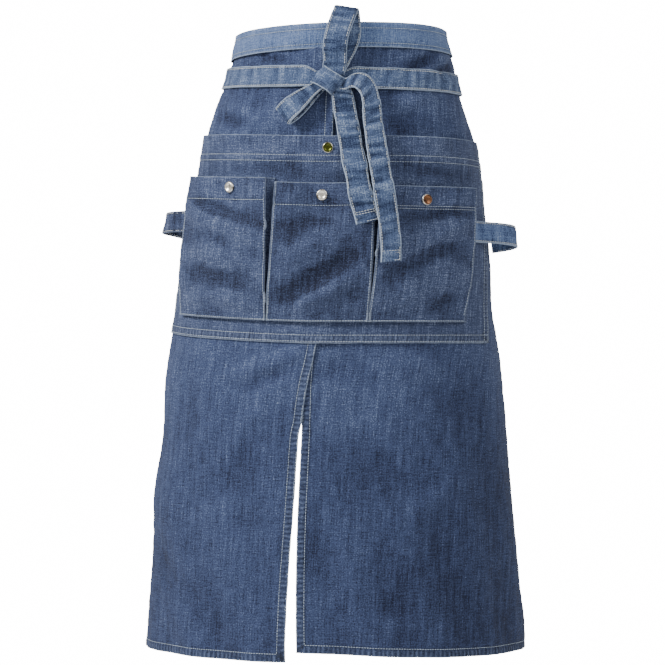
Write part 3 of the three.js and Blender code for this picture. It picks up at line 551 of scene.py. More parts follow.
class Graph:
    """A material's node tree, with short calls for the nodes that cloth needs."""

    def __init__(self, name: str) -> None:
        """Start an empty tree with its surface shader.

        Args:
            name: the material's name.
        """
        self.material = bpy.data.materials.new(name)
        self.material.use_nodes = True
        self.tree = self.material.node_tree
        self.tree.nodes.clear()
        self.shader = self.tree.nodes.new("ShaderNodeBsdfPrincipled")
        out = self.tree.nodes.new("ShaderNodeOutputMaterial")
        self.tree.links.new(self.shader.outputs[0], out.inputs[0])

    def put(self, socket: Socket, value: object) -> None:
        """Link a socket's output to an input, or set the input's own value."""
        if isinstance(value, Socket):
            self.tree.links.new(value, socket)
        elif value is not None:
            socket.default_value = value

    def shade(self, **values: object) -> None:
        """Set the shader's inputs, named with underscores for spaces."""
        for name, value in values.items():
            self.put(self.shader.inputs[name.replace("_", " ")], value)

    def attribute(self, name: str) -> Socket:
        """A float that the mesh carries."""
        node = self.tree.nodes.new("ShaderNodeAttribute")
        node.attribute_name = name
        return node.outputs["Fac"]

    def cloth_map(self) -> Socket:
        """The piece's own map along its weave, in metres."""
        node = self.tree.nodes.new("ShaderNodeUVMap")
        node.uv_map = "weave"
        return node.outputs[0]

    def object_map(self) -> Socket:
        """Object coordinates."""
        return self.tree.nodes.new("ShaderNodeTexCoord").outputs["Object"]

    def stretched(self, vector: object, scale: Sequence[float], turn: float = 0.0) -> Socket:
        """A map scaled by axis and turned about Z by some degrees.

        Args:
            vector: the map.
            scale: factor by axis.
            turn: degrees.

        Returns:
            The new map.
        """
        node = self.tree.nodes.new("ShaderNodeMapping")
        self.put(node.inputs["Vector"], vector)
        node.inputs["Scale"].default_value = tuple(scale)
        node.inputs["Rotation"].default_value = (0, 0, math.radians(turn))
        return node.outputs[0]

    def noise(
        self, vector: object, scale: float, detail: float = 2.0, rough: float = 0.5
    ) -> Socket:
        """Noise between 0 and 1, in features per metre.

        Args:
            vector: the map.
            scale: features per metre.
            detail: octaves.
            rough: share of the small ones.

        Returns:
            The noise.
        """
        node = self.tree.nodes.new("ShaderNodeTexNoise")
        self.put(node.inputs["Vector"], vector)
        node.inputs["Scale"].default_value = scale
        node.inputs["Detail"].default_value = detail
        node.inputs["Roughness"].default_value = rough
        return node.outputs["Fac"]

    def math(
        self, kind: str, first: object, second: object = None, third: object = None
    ) -> Socket:
        """One step of arithmetic.

        Args:
            kind: the operation.
            first: a number or socket.
            second: another.
            third: a third one.

        Returns:
            The result.
        """
        node = self.tree.nodes.new("ShaderNodeMath")
        node.operation = kind
        for socket, value in zip(node.inputs, (first, second, third)):
            self.put(socket, value)
        return node.outputs[0]

    def ranged(
        self, value: object, low: float, high: float, start: float = 0.0, end: float = 1.0
    ) -> Socket:
        """A value moved from one range to another, held at its ends.

        Args:
            value: what to move.
            low: its start.
            high: its end.
            start: new start.
            end: new end.

        Returns:
            The moved value.
        """
        node = self.tree.nodes.new("ShaderNodeMapRange")
        node.interpolation_type = "SMOOTHSTEP"
        for name, given in (("Value", value), ("From Min", low), ("From Max", high)):
            self.put(node.inputs[name], given)
        node.inputs["To Min"].default_value = start
        node.inputs["To Max"].default_value = end
        return node.outputs[0]

    def blend(self, share: object, first: object, second: object) -> Socket:
        """A mix of two colours.

        Args:
            share: how much of the second.
            first: a colour.
            second: another.

        Returns:
            The mix.
        """
        node = self.tree.nodes.new("ShaderNodeMix")
        node.data_type = "RGBA"
        self.put(node.inputs["Factor"], share)
        self.put(node.inputs["A"], first)
        self.put(node.inputs["B"], second)
        return node.outputs["Result"]

    def scaled_colour(self, colour: object, amount: object) -> Socket:
        """A colour made lighter or darker by a number.

        Args:
            colour: the colour.
            amount: the factor.

        Returns:
            The new colour.
        """
        node = self.tree.nodes.new("ShaderNodeVectorMath")
        node.operation = "SCALE"
        self.put(node.inputs[0], colour if isinstance(colour, Socket) else colour[:3])
        self.put(node.inputs["Scale"], amount)
        return node.outputs[0]

    def bump(
        self, height: object, metres: float, strength: float, below: object = None
    ) -> Socket:
        """A bumped normal, on top of another one.

        Args:
            height: the relief.
            metres: its depth.
            strength: its share.
            below: a normal under it.

        Returns:
            The normal.
        """
        node = self.tree.nodes.new("ShaderNodeBump")
        node.inputs["Distance"].default_value = metres
        node.inputs["Strength"].default_value = strength
        self.put(node.inputs["Height"], height)
        self.put(node.inputs["Normal"], below)
        return node.outputs[0]


def linear(red: float, green: float, blue: float) -> tuple[float, float, float, float]:
    """A colour given in 0 to 255 screen values, in linear light."""
    shares = (c / 255 for c in (red, green, blue))
    return (*(s / 12.92 if s <= 0.04045 else ((s + 0.055) / 1.055) ** 2.4 for s in shares), 1.0)


@dataclass(frozen=True)
class DenimFinish:
    """Washed denim: dyed warp over pale weft, faded on its ridges and hems, with painted light on its
    ridges and painted shade in its valleys, creases and stitch grooves.
    """

    name: str
    dark: tuple[float, float, float]
    mid: tuple[float, float, float]
    faded: tuple[float, float, float]
    weft: tuple[float, float, float] = (164, 178, 198)
    edge_fade: float = 0.5
    edge_width: float = 0.0015
    rope: float = 0.3
    rung_rate: float = 1120.0
    rung_wobble: float = 7.0
    twill_rate: float = 320.0
    twill_slant: float = 28.0
    wear_and_shade_gain: float = 0.15

    def material(self) -> bpy.types.Material:
        """Build the cloth's node material."""
        g = Graph(self.name)
        weave = g.cloth_map()
        slub = g.noise(g.stretched(weave, (800, 30, 1)), 1, 2, 0.6)
        weft_slub = g.noise(g.stretched(weave, (60, 800, 1)), 1, 1, 0.5)
        twill = self._twill(g, weave)
        tone = self._tone(g, weave, slub, weft_slub)
        base = g.blend(g.ranged(tone, -0.3, 0.6), linear(*self.dark), linear(*self.mid))
        base = g.blend(g.ranged(tone, 0.5, 1.4), base, linear(*self.faded))
        hem = g.attribute("hem")
        rope = g.attribute("rope")
        wobble = g.noise(weave, 60, 2, 0.6)
        wobble = g.math("MULTIPLY", wobble, self.rung_wobble)
        phase = g.math("MULTIPLY_ADD", g.attribute("run"), self.rung_rate, wobble)
        rung = g.math("MULTIPLY_ADD", g.math("SINE", phase), 0.5, 0.5)
        rung = g.math("MULTIPLY", rung, g.ranged(g.noise(weave, 130, 2, 0.6), 0.3, 0.6, 0.35, 1.0))
        pale = g.math("MULTIPLY", g.math("MULTIPLY", rung, rope), self.rope)
        base = g.blend(pale, base, linear(*self.faded))
        gap = g.math("MULTIPLY", g.math("SUBTRACT", 1.0, rung), rope)
        base = g.scaled_colour(base, g.math("MULTIPLY_ADD", gap, -0.3, 1.0))
        fray = g.math("MULTIPLY_ADD", g.noise(weave, 420, 2, 0.6), 0.0012, hem)
        worn_edge = g.ranged(fray, self.edge_width * 0.5, self.edge_width * 1.3, self.edge_fade, 0.0)
        base = g.blend(worn_edge, base, linear(*self.weft))
        # painted shade: the cloth made darker along its stitched grooves
        base = g.scaled_colour(base, g.math("MULTIPLY_ADD", g.attribute("groove"), -0.2, 1.0))
        base = g.scaled_colour(base, g.math("MULTIPLY_ADD", twill, 0.14, 0.93))
        height = g.math("MULTIPLY_ADD", slub, 0.5, g.math("MULTIPLY", twill, 0.5))
        normal = g.bump(height, 0.0005, 0.6)
        crease = g.noise(weave, 85, 3, 0.55)
        normal = g.bump(crease, 0.0028, 0.55, normal)
        normal = g.bump(g.math("MULTIPLY", rung, rope), 0.0012, 0.8, normal)
        g.shade(Base_Color=base, Roughness=0.92, Normal=normal)
        g.shade(Sheen_Weight=0.04, Sheen_Roughness=0.5, Specular_IOR_Level=0.2)
        return g.material

    def _tone(self, g: Graph, weave: Socket, slub: Socket, weft_slub: Socket) -> Socket:
        """How light the cloth is: threads, grain, wash clouds and worn ridges, with painted light on raised
        parts and painted shade in hollows and shaded areas.

        Args:
            g: the graph.
            weave: the map.
            slub: warp noise.
            weft_slub: weft noise.

        Returns:
            0 for the darkest blue and 1 for the palest.
        """
        # the mesh's value mixes the real fade of worn ridges with painted light on raised parts and painted
        # shade in hollows and shaded areas
        tone = g.math("MULTIPLY_ADD", g.attribute("wear"), self.wear_and_shade_gain, 0.5)
        layers = (
            (g.noise(weave, 10, 2, 0.5), 0.28),
            (g.noise(weave, 60, 3, 0.6), 0.4),
            (g.noise(g.stretched(weave, (170, 8, 1)), 1, 2, 0.5), 0.6),
            (slub, 1.3),
            (weft_slub, 0.8),
            (g.noise(weave, 620, 2, 0.7), 2.6),
        )
        for field_value, weight in layers:
            tone = g.math("MULTIPLY_ADD", g.math("SUBTRACT", field_value, 0.5), weight, tone)
        return tone

    def _twill(self, g: Graph, weave: Socket) -> Socket:
        """The weave's slanting ribs, 1 mm apart.

        Args:
            g: the graph.
            weave: the map.

        Returns:
            The ribs, 0 to 1.
        """
        node = g.tree.nodes.new("ShaderNodeTexWave")
        node.inputs["Scale"].default_value = self.twill_rate
        node.inputs["Distortion"].default_value = 1.2
        node.inputs["Detail"].default_value = 1.0
        g.put(node.inputs["Vector"], g.stretched(weave, (1, 1, 1), self.twill_slant))
        return node.outputs["Fac"]


@dataclass(frozen=True)
class ThreadFinish:
    """Twisted sewing thread."""

    name: str
    colour: tuple[float, float, float]

    def material(self) -> bpy.types.Material:
        """Build the thread's node material."""
        g = Graph(self.name)
        place = g.object_map()
        dirt = g.noise(place, 60, 2, 0.5)
        twist = g.noise(place, 2600, 1, 0.5)
        colour = g.scaled_colour(linear(*self.colour), g.ranged(dirt, 0.3, 0.7, 0.72, 1.1))
        g.shade(Base_Color=colour, Roughness=0.7, Normal=g.bump(twist, 0.0002, 0.5))
        return g.material


@dataclass(frozen=True)
class SnapFinish:
    """Plated metal of a snap, dulled with use."""

    name: str
    colour: tuple[float, float, float]
    dull: tuple[float, float, float]

    def material(self) -> bpy.types.Material:
        """Build the metal's node material."""
        g = Graph(self.name)
        place = g.object_map()
        tarnish = g.ranged(g.noise(place, 190, 2, 0.6), 0.5, 0.66)
        colour = g.blend(tarnish, linear(*self.colour), linear(*self.dull))
        scratch = g.noise(g.stretched(place, (900, 900, 2600)), 1, 2, 0.5)
        g.shade(Base_Color=colour, Metallic=1.0, Roughness=g.ranged(scratch, 0.3, 0.75, 0.2, 0.42))
        g.shade(Normal=g.bump(scratch, 0.0001, 0.3))
        return g.material


class Cloth(Enum):
    """The finishes that cloth pieces take."""

    SKIRT = "skirt"
    POCKET = "pocket"
    BAND = "band"
    STRAP = "strap"
    REVERSE = "reverse"


@dataclass
class Wardrobe:
    """All the finishes, built once."""

    def __post_init__(self) -> None:
        """Build every material."""
        finishes = {
            Cloth.SKIRT: DenimFinish(
                "denim_skirt", (24, 29, 50), (60, 72, 105), (118, 132, 162), wear_and_shade_gain=0.34
            ),
            Cloth.POCKET: DenimFinish(
                "denim_pocket", (24, 28, 46), (62, 73, 103), (122, 134, 162),
                edge_fade=0.5, edge_width=0.0013, wear_and_shade_gain=0.4,
            ),
            Cloth.BAND: DenimFinish(
                "denim_band", (44, 58, 92), (94, 114, 153), (146, 162, 190),
                edge_fade=0.7, edge_width=0.0016, wear_and_shade_gain=0.3,
            ),
            Cloth.STRAP: DenimFinish(
                "denim_strap", (30, 42, 70), (76, 92, 124), (142, 158, 184),
                edge_fade=0.85, edge_width=0.0015, wear_and_shade_gain=0.42,
            ),
            Cloth.REVERSE: DenimFinish(
                "denim_reverse", (80, 90, 110), (112, 122, 142), (150, 160, 176)
            ),
        }
        self.materials = {kind: finish.material() for kind, finish in finishes.items()}
        self.thread = ThreadFinish("thread_pale", (214, 218, 220)).material()
        self.thread_blue = ThreadFinish("thread_blue", (176, 188, 204)).material()
        self.nickel = SnapFinish("nickel_worn", (232, 227, 216), (112, 98, 78)).material()
        self.copper = SnapFinish("copper_worn", (132, 92, 66), (80, 56, 44)).material()
        self.brass = SnapFinish("brass_worn", (80, 84, 34), (38, 44, 22)).material()


@dataclass
class Patch:
    """One sheet of cloth on a grid of two parameters, with what its finish reads."""

    name: str
    across: Array
    up: Array

    def __post_init__(self) -> None:
        """Make the flat grid and find each vertex's place in it."""
        bm = bmesh.new()
        nx, ny = len(self.across) - 1, len(self.up) - 1
        bmesh.ops.create_grid(bm, x_segments=nx, y_segments=ny, size=1.0)
        self.mesh = bpy.data.meshes.new(self.name)
        bm.to_mesh(self.mesh)
        bm.free()
        flat = points_of(self.mesh)
        column = np.rint((flat[:, 0] + 1) / 2 * nx).astype(int)
        row = np.rint((flat[:, 1] + 1) / 2 * ny).astype(int)
        self.a = self.across[column]
        self.b = self.up[row]

    def finish(
        self,
        points: Array,
        weave: tuple[Array, Array],
        facts: dict[str, Array],
        cloth: bpy.types.Material,
        reverse: bpy.types.Material,
        thick: float,
        share: Array | None = None,
        offset: float = INSIDE,
    ) -> bpy.types.Object:
        """Move the grid into place and dress it.

        Args:
            points: the vertices' places, in millimetres.
            weave: the two coordinates along the weave, in millimetres.
            facts: what the finish reads at each vertex.
            cloth: material of the outer face.
            reverse: material of the inner face and rim.
            thick: the cloth's thickness.
            share: share of the thickness at each vertex, or none for all of it.
            offset: where the wall stands to the grid, INSIDE or BOTH_WAYS.

        Returns:
            The new object.
        """
        mesh = self.mesh
        mesh.vertices.foreach_set("co", (points * MM).ravel())
        loops = np.empty(len(mesh.loops), dtype=np.int32)
        mesh.loops.foreach_get("vertex_index", loops)
        layer = mesh.uv_layers.new(name="weave")
        layer.data.foreach_set("uv", (np.stack(weave, axis=1) * MM)[loops].ravel())
        known = {"hem": 0.1, "run": 0.0, "rope": 0.0, "wear": 0.0, "groove": 0.0}
        for key, usual in known.items():
            values = facts.get(key, np.full(len(points), usual))
            scale = MM if key in ("hem", "run") and key in facts else 1.0
            item = mesh.attributes.new(key, "FLOAT", "POINT")
            item.data.foreach_set("value", np.asarray(values * scale, dtype=np.float32))
        mesh.shade_smooth()
        mesh.materials.append(cloth)
        mesh.materials.append(reverse)
        piece = placed(f"{self.name}_cloth", mesh)
        wall = piece.modifiers.new("wall", "SOLIDIFY")
        wall.thickness = thick * MM
        wall.offset = offset
        wall.use_quality_normals = True
        wall.material_offset = 1 if offset < 0 else 0
        if share is not None:
            group = piece.vertex_groups.new(name="thick")
            for level in np.unique(np.round(share, 2)):
                chosen = np.nonzero(np.abs(share - level) < 0.006)[0].tolist()  # rounded to 0.01
                group.add(chosen, float(level), "REPLACE")
            wall.vertex_group = "thick"
            wall.thickness_vertex_group = 0.0
        return piece


@dataclass
class Thread:
    """Stitches along lines on a surface, made as one mesh of small rounded bars."""

    name: str
    pitch: float = 3.1
    size: tuple[float, float, float] = (1.35, 0.4, 0.3)
    reach: float = 0.7
    fine: int = 12
    places: list[Array] = field(default_factory=list)

    def sew(self, surface: Surface, u: Array, z: Array, lift: float = 0.15) -> None:
        """Sew along a line of (u, z) points on a surface.

        Args:
            surface: gives a point from u, z and lift.
            u: first coordinates of the line.
            z: second coordinates of the line.
            lift: how far the thread's middle stands off the surface.
        """
        u, z = np.broadcast_arrays(np.asarray(u, float), np.asarray(z, float))
        fine_at = np.linspace(0, len(u) - 1, max(len(u), 2) * self.fine)
        fu = np.interp(fine_at, np.arange(len(u)), u)
        fz = np.interp(fine_at, np.arange(len(z)), z)
        line = surface(fu, fz, np.full(len(fu), lift))
        above = surface(fu, fz, np.full(len(fu), lift + 1.0))
        run = path_length(line)
        count = max(2, int(run[-1] / self.pitch))
        at = (np.arange(count) + 0.5) * run[-1] / count

        def read(row: Array, shift: float = 0.0) -> Array:
            """Points of a row at the stitches, or some way ahead of them."""
            return np.stack([np.interp(at + shift, run, row[:, k]) for k in range(3)], axis=1)

        middle, lifted = read(line), read(above)
        way = read(line, self.reach) - read(line, -self.reach)
        way /= np.linalg.norm(way, axis=1, keepdims=True)
        up = lifted - middle
        up -= way * np.sum(up * way, axis=1, keepdims=True)
        up /= np.linalg.norm(up, axis=1, keepdims=True)
        self.places.append(np.stack([middle, way, np.cross(up, way), up], axis=1))

    def build(self, finish: bpy.types.Material) -> bpy.types.Object:
        """Make all the stitches sewn so far.

        Args:
            finish: the thread's material.

        Returns:
            The object that holds them.
        """
        bm = bmesh.new()
        bmesh.ops.create_uvsphere(bm, u_segments=6, v_segments=4, radius=1.0)
        bm.verts.ensure_lookup_table()
        corner = np.array([v.co[:] for v in bm.verts])[:, [2, 0, 1]]
        faces = [[v.index for v in f.verts] for f in bm.faces]
        bm.free()
        frames = np.concatenate(self.places)
        local = corner * np.asarray(self.size)
        points = frames[:, None, 0] + np.einsum("vk,nkc->nvc", local, frames[:, 1:])
        count = len(corner)
        loops = np.concatenate([np.asarray(f) for f in faces])
        sizes = np.array([len(f) for f in faces])
        every = (loops[None] + count * np.arange(len(frames))[:, None]).ravel()
        starts = np.concatenate([[0], np.cumsum(np.tile(sizes, len(frames)))[:-1]])
        mesh = bpy.data.meshes.new(self.name)
        mesh.vertices.add(points.shape[0] * count)
        mesh.vertices.foreach_set("co", (points * MM).ravel())
        mesh.loops.add(len(every))
        mesh.loops.foreach_set("vertex_index", every.astype(np.int32))
        mesh.polygons.add(len(starts))
        mesh.polygons.foreach_set("loop_start", starts.astype(np.int32))
        mesh.update(calc_edges=True)
        mesh.validate()
        mesh.shade_smooth()
        mesh.materials.append(finish)
        piece = placed(self.name, mesh)
        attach(piece, "root")
        return piece


def grooves(distance: Array, lines: Sequence[float], width: float = 1.5) -> Array:
    """How deep in a stitched groove a place is, from its distance to an edge."""
    total = np.zeros(np.shape(distance))
    for line in lines:
        total += np.exp(-(((distance - line) / width) ** 2))
    return np.clip(total, 0, 1)


@dataclass
class Skirt:
    """One of the two skirt panels, hemmed on three sides."""

    drape: Drape
    side: int
    edge_hem: float = 10.0
    foot_line: float = 9.4
    folded_to: float = 10.5
    slit_top: float = -352.0
    # where the painted shade on the lower skirt starts and how far down it deepens
    painted_shade_from: float = -330.0
    painted_shade_over: float = 260.0
    flap_rise: float = 11.0
    flap_reach: float = 0.3

    def __post_init__(self) -> None:
        """Name the panel and set out its grid."""
        self.name = "skirt_left" if self.side < 0 else "skirt_right"
        self.hem_z = TOP - LENGTH
        body = spaced(0, 1, 0.0072)
        ahead = [-3.0, -2.92, -2.8, -2.4, -2.16, -2.06, -1.96]
        behind = [3.0, 3.06, 3.16, 3.6, 3.92, 4.0]
        self.shares = np.concatenate([ahead, body[1:-1], behind])

    def _round(self, share: Array, z: Array) -> tuple[Array, Array, Array]:
        """Distances from the front and back edges, and u, for a grid share at a level.

        Args:
            share: grid share, -3 to 4.
            z: height.

        Returns:
            The two distances and u.
        """
        edge = self.drape.edge_left(z) if self.side < 0 else self.drape.edge_right(z)
        front = -edge if self.side < 0 else edge
        width = self.drape.form.back_edge(z) - front
        hem = self.edge_hem
        ahead = np.clip(share + 3, 0, 1) * hem
        behind = np.clip(share - 3, 0, 1) * hem
        inner = np.clip(share, 0, 1) * (width - 2 * hem)
        distance = ahead + inner + behind
        return distance, width - distance, self.side * (front + distance)

    def _height(self, u: Array, level: Array) -> Array:
        """The flap's hem is a little shorter beside the slit on the right.

        Args:
            u: arc length from the seam.
            level: grid height.

        Returns:
            The height.
        """
        if self.side < 0:
            return level
        share = smooth((level - TOP + LENGTH * 0.5) / (self.hem_z - TOP + LENGTH * 0.5))
        reach = self.flap_reach * self.drape.form.half_hem
        return level + self.flap_rise * np.exp(-((u / reach) ** 2)) * share

    def build(self, wardrobe: Wardrobe) -> bpy.types.Object:
        """Make the panel.

        Args:
            wardrobe: the finishes.

        Returns:
            The panel's object.
        """
        keep = [self.hem_z + k for k in (0.8, self.foot_line, 11.0, 12.6)]
        up = spaced(self.hem_z, TOP - 1.9, 4.0, keep)
        shares = self.shares if self.side > 0 else self.shares[::-1]
        patch = Patch(self.name, shares, up)
        ahead, behind, u = self._round(patch.a, patch.b)
        z = self._height(u, patch.b)
        foot = patch.b - self.hem_z
        hem = np.minimum(np.minimum(ahead, behind), foot)
        slit = smooth((self.slit_top - z) / 20)
        run = np.where(foot < np.minimum(ahead, behind), u, z)
        groove = grooves(hem, [self.foot_line])
        folded = smooth((self.folded_to - hem) / 2.5)
        pucker = Ripple(21, 9, 0, 6.3).at(run, hem * 0.3)
        lift = folded * (0.5 + 0.4 * pucker) - 0.45 * groove
        if self.side < 0:
            lift = lift + 0.5 * folded * slit * Ripple(22, 60).at(z, z * 0)
        points = self.drape.skirt(u, z, lift, self.side)
        # painted shade in the skirt's creases and a little painted light on its ridges, beside their real
        # fade
        ridges = np.clip(self.drape.relief(u, z) / 3.0, -1.2, 0.3)
        # painted shade: the skirt darker towards the hem, most towards its right side
        darker = smooth((self.painted_shade_from - z) / self.painted_shade_over) * mix(0.62, 0.97, smooth((u - 60) / 130))
        facts = {
            "hem": hem,
            "run": run,
            "rope": folded * np.where(foot < 14, 1.0, slit),
            # painted shade in creases and on the lower right, a little painted light on ridges
            "wear": ridges * mix(1.0, 0.4, self.drape.form.drop(z)) - darker,
            "groove": groove,
        }
        share = np.where(hem < self.folded_to, 1.0, self.drape.single)
        denim, reverse = wardrobe.materials[Cloth.SKIRT], wardrobe.materials[Cloth.REVERSE]
        return patch.finish(points, (u, z), facts, denim, reverse, self.drape.hem_cloth, share)

    def sew(self, thread: Thread) -> None:
        """Sew the hems.

        Args:
            thread: takes the stitches.
        """
        levels = np.linspace(self.hem_z + self.foot_line, 12, 180)

        def at(u: Array, level: Array, lift: Array) -> Array:
            """A point on the panel's outer face."""
            return self.drape.skirt(u, self._height(u, level), lift + 0.1, self.side)

        for share in (-2.88, -2.06, 3.06):
            whole = share > 0 or self.side < 0 or share > -2.5
            chosen = levels if whole else levels[levels < self.slit_top]
            _, _, u = self._round(np.full(len(chosen), share), chosen)
            thread.sew(at, u, chosen)
        shares = np.concatenate([[-2.06], np.linspace(0, 1, 160), [3.06]])
        level = np.full(len(shares), self.hem_z + self.foot_line)
        _, _, u = self._round(shares, level)
        thread.sew(at, u, level)


@dataclass
class Waistband:
    """The band folded over the skirt's top edge."""

    drape: Drape
    height: float = 30.0
    face: float = 4.6
    lining: float = -3.9
    rise: float = 4.0
    tilt: float = 4.8
    turn: float = 8.0
    fold: float = 2.6
    pressed: float = 1.3
    pressed_over: float = 14.0
    lines: tuple[float, float] = (5.0, 24.0)

    def _soft(self, u: Array, z: Array) -> Array:
        """The band's slight waves."""
        return 0.5 * Ripple(31, 42).at(u, z) + 0.25 * Ripple(32, 14, 60, 1.5).at(u, z)

    def _end(self) -> float:
        """Arc length from the seam to the band's back ends."""
        return float(self.drape.form.back_edge(np.zeros(1))[0])

    def shift(self, u: Array) -> Array:
        """How much higher than the level ring the band stands round the waist."""
        angle = self.drape.form.angle(np.asarray(u, float), np.zeros(np.shape(u)))
        return self.rise * (1 + np.cos(angle)) / 2 + self.tilt / 2 * np.sin(angle)

    def surface(self, u: Array, z: Array, lift: Array) -> Array:
        """A point on the band's outer face."""
        close = self.pressed * smooth((-1 - z) / self.pressed_over)
        return self.drape.form.place(u, z + self.shift(u), self.face + self._soft(u, z) - close + lift)

    def build(self, wardrobe: Wardrobe) -> bpy.types.Object:
        """Make the band: its outer face, over the top, and down its lining.

        Args:
            wardrobe: the finishes.

        Returns:
            The band's object.
        """
        end = self._end()
        across = spaced(-end, end, 3.5, (-end + 1.2, end - 1.2))
        half = self.height / 2
        over = (self.face - self.lining) / 2
        back, fold = self.height + self.turn, self.fold
        whole = back + self.height
        up = spaced(0, whole, 2.0, (1.0, 5.0, 7.0, 23.0, 25.0))
        patch = Patch("waistband", across, up)
        u, v = patch.a, patch.b
        turn = np.clip((v - self.height) / self.turn, 0, 1) * math.pi
        lift = self.face - over * (1 - np.cos(turn))
        straight = (2 * half - fold) / self.height
        z = half - fold + fold * np.sin(turn)
        z = np.where(v < self.height, v * straight - half, z)
        z = np.where(v > back, half - fold - (v - back) * straight, z)
        outside = smooth((self.height + 6 - v) / 6)
        soft = self._soft(u, z)
        groove = grooves(v, self.lines[:1]) + 0.8 * grooves(v, self.lines[1:])
        close = self.pressed * smooth((self.pressed_over - v) / self.pressed_over) * outside
        lift = lift + outside * (soft - 0.35 * groove) - close
        points = self.drape.form.place(u, z + self.shift(u), lift)
        edge = np.minimum(np.minimum(v, whole - v), end - np.abs(u))
        facts = {
            "hem": edge,
            "run": u,
            "rope": 0.5 * smooth((6 - v) / 3) * outside,
            # painted light on the band's raised waves and painted shade on its sunk ones, beside their real
            # fade
            "wear": 0.4 * soft,
            "groove": np.clip(groove, 0, 1) * outside,
        }
        denim = wardrobe.materials[Cloth.BAND]
        return patch.finish(points, (u, z), facts, denim, denim, self.drape.cloth)

    def sew(self, thread: Thread) -> None:
        """Sew along both long edges of the band's face.

        Args:
            thread: takes the stitches.
        """
        end = self._end() - 3
        u = np.linspace(-end, end, 200)
        for level in (-10.3, 7.2):
            thread.sew(self.surface, u, np.full(200, level))


@dataclass
class PocketPanel:
    """The wide panel that carries the pockets and is itself a pocket, open at its top."""

    drape: Drape
    hem_lines: tuple[float, float] = (23.0, 30.0)
    foot_lines: tuple[float, float] = (1.8, 9.0)
    side_lines: tuple[float, float] = (1.8, 8.0)
    top_folded_to: float = 32.0
    folded_to: float = 10.0
    folds: tuple[Fold, ...] = (
        Fold(((-150, -158), (-60, -153), (20, -157)), -1.9, 8),
        Fold(((70, -150), (120, -156), (190, -161)), -2.2, 8),
        Fold(((-60, -164), (0, -168), (60, -164)), -1.6, 7),
    )

    def relief(self, u: Array, z: Array) -> Array:
        """The panel's own creases."""
        soft = 0.55 * Ripple(41, 60).at(u, z) + 0.3 * Ripple(42, 22, 30, 2.4).creased(u, z)
        fine = 0.18 * Ripple(43, 11).at(u, z)
        calm = 0.35 + 0.65 * smooth((z + 190) / 30)
        return calm * (soft + fine + folds_at(self.folds, u, z)) + 0.3

    def surface(self, u: Array, z: Array, lift: Array) -> Array:
        """A point on the panel's outer face."""
        return self.drape.panel(u, z, lift + self.relief(u, z))

    def build(self, wardrobe: Wardrobe) -> bpy.types.Object:
        """Make the panel.

        Args:
            wardrobe: the finishes.

        Returns:
            The panel's object.
        """
        d = self.drape
        (left, right), foot = d.panel_ends, d.panel_foot
        across = spaced(left, right, 3.0, (left + 0.8, left + 8, right - 0.8, right - 8))
        lines = [d.panel_top - k for k in (0.8, 22, 23, 24, 29, 30, 31)]
        lines += [foot + k for k in (0.8, 1.8, 8.0, 9.0, 10.0)]
        patch = Patch("pocket_panel", across, spaced(foot, d.panel_top, 3.0, lines))
        u, z = patch.a, patch.b
        top, below = d.panel_top - z, z - foot
        sides = np.minimum(u - left, right - u)
        sewn = ((top, self.hem_lines), (below, self.foot_lines), (sides, self.side_lines))
        groove = np.maximum.reduce([grooves(distance, lines, 1.2) for distance, lines in sewn])
        narrow = np.minimum(below, sides)
        folded_low = smooth((self.folded_to - narrow) / 3)
        folded = np.maximum(smooth((self.top_folded_to - top) / 3), folded_low)
        points = self.surface(u, z, 0.5 * folded - 0.4 * groove)
        facts = {
            "hem": np.minimum(top, narrow),
            "run": np.where(below < sides, u, z),
            "rope": 0.8 * folded_low,
            # painted shade in the panel's creases, the band above the pockets among them, and painted light
            # on its ridges
            "wear": np.clip(self.relief(u, z) / 2.5, -1, 1),
            "groove": groove,
        }
        share = np.where(folded > 0.5, 1.0, d.single)
        denim, reverse = wardrobe.materials[Cloth.POCKET], wardrobe.materials[Cloth.REVERSE]
        return patch.finish(points, (u, z), facts, denim, reverse, d.hem_cloth, share)

    def sew(self, thread: Thread) -> None:
        """Sew the panel's hems, and its foot to the skirt.

        Args:
            thread: takes the stitches.
        """
        d = self.drape
        (left, right), foot = d.panel_ends, d.panel_foot
        u = np.linspace(left + 2, right - 2, 160)
        levels = [d.panel_top - line for line in self.hem_lines] + [foot + line for line in self.foot_lines]
        for level in levels:
            thread.sew(self.surface, u, np.full(160, level))
        z = np.linspace(foot + 2, d.panel_top - 1, 80)
        near, far = self.side_lines
        for side in (left + near, left + far, right - far, right - near):
            thread.sew(self.surface, np.full(80, side), z)


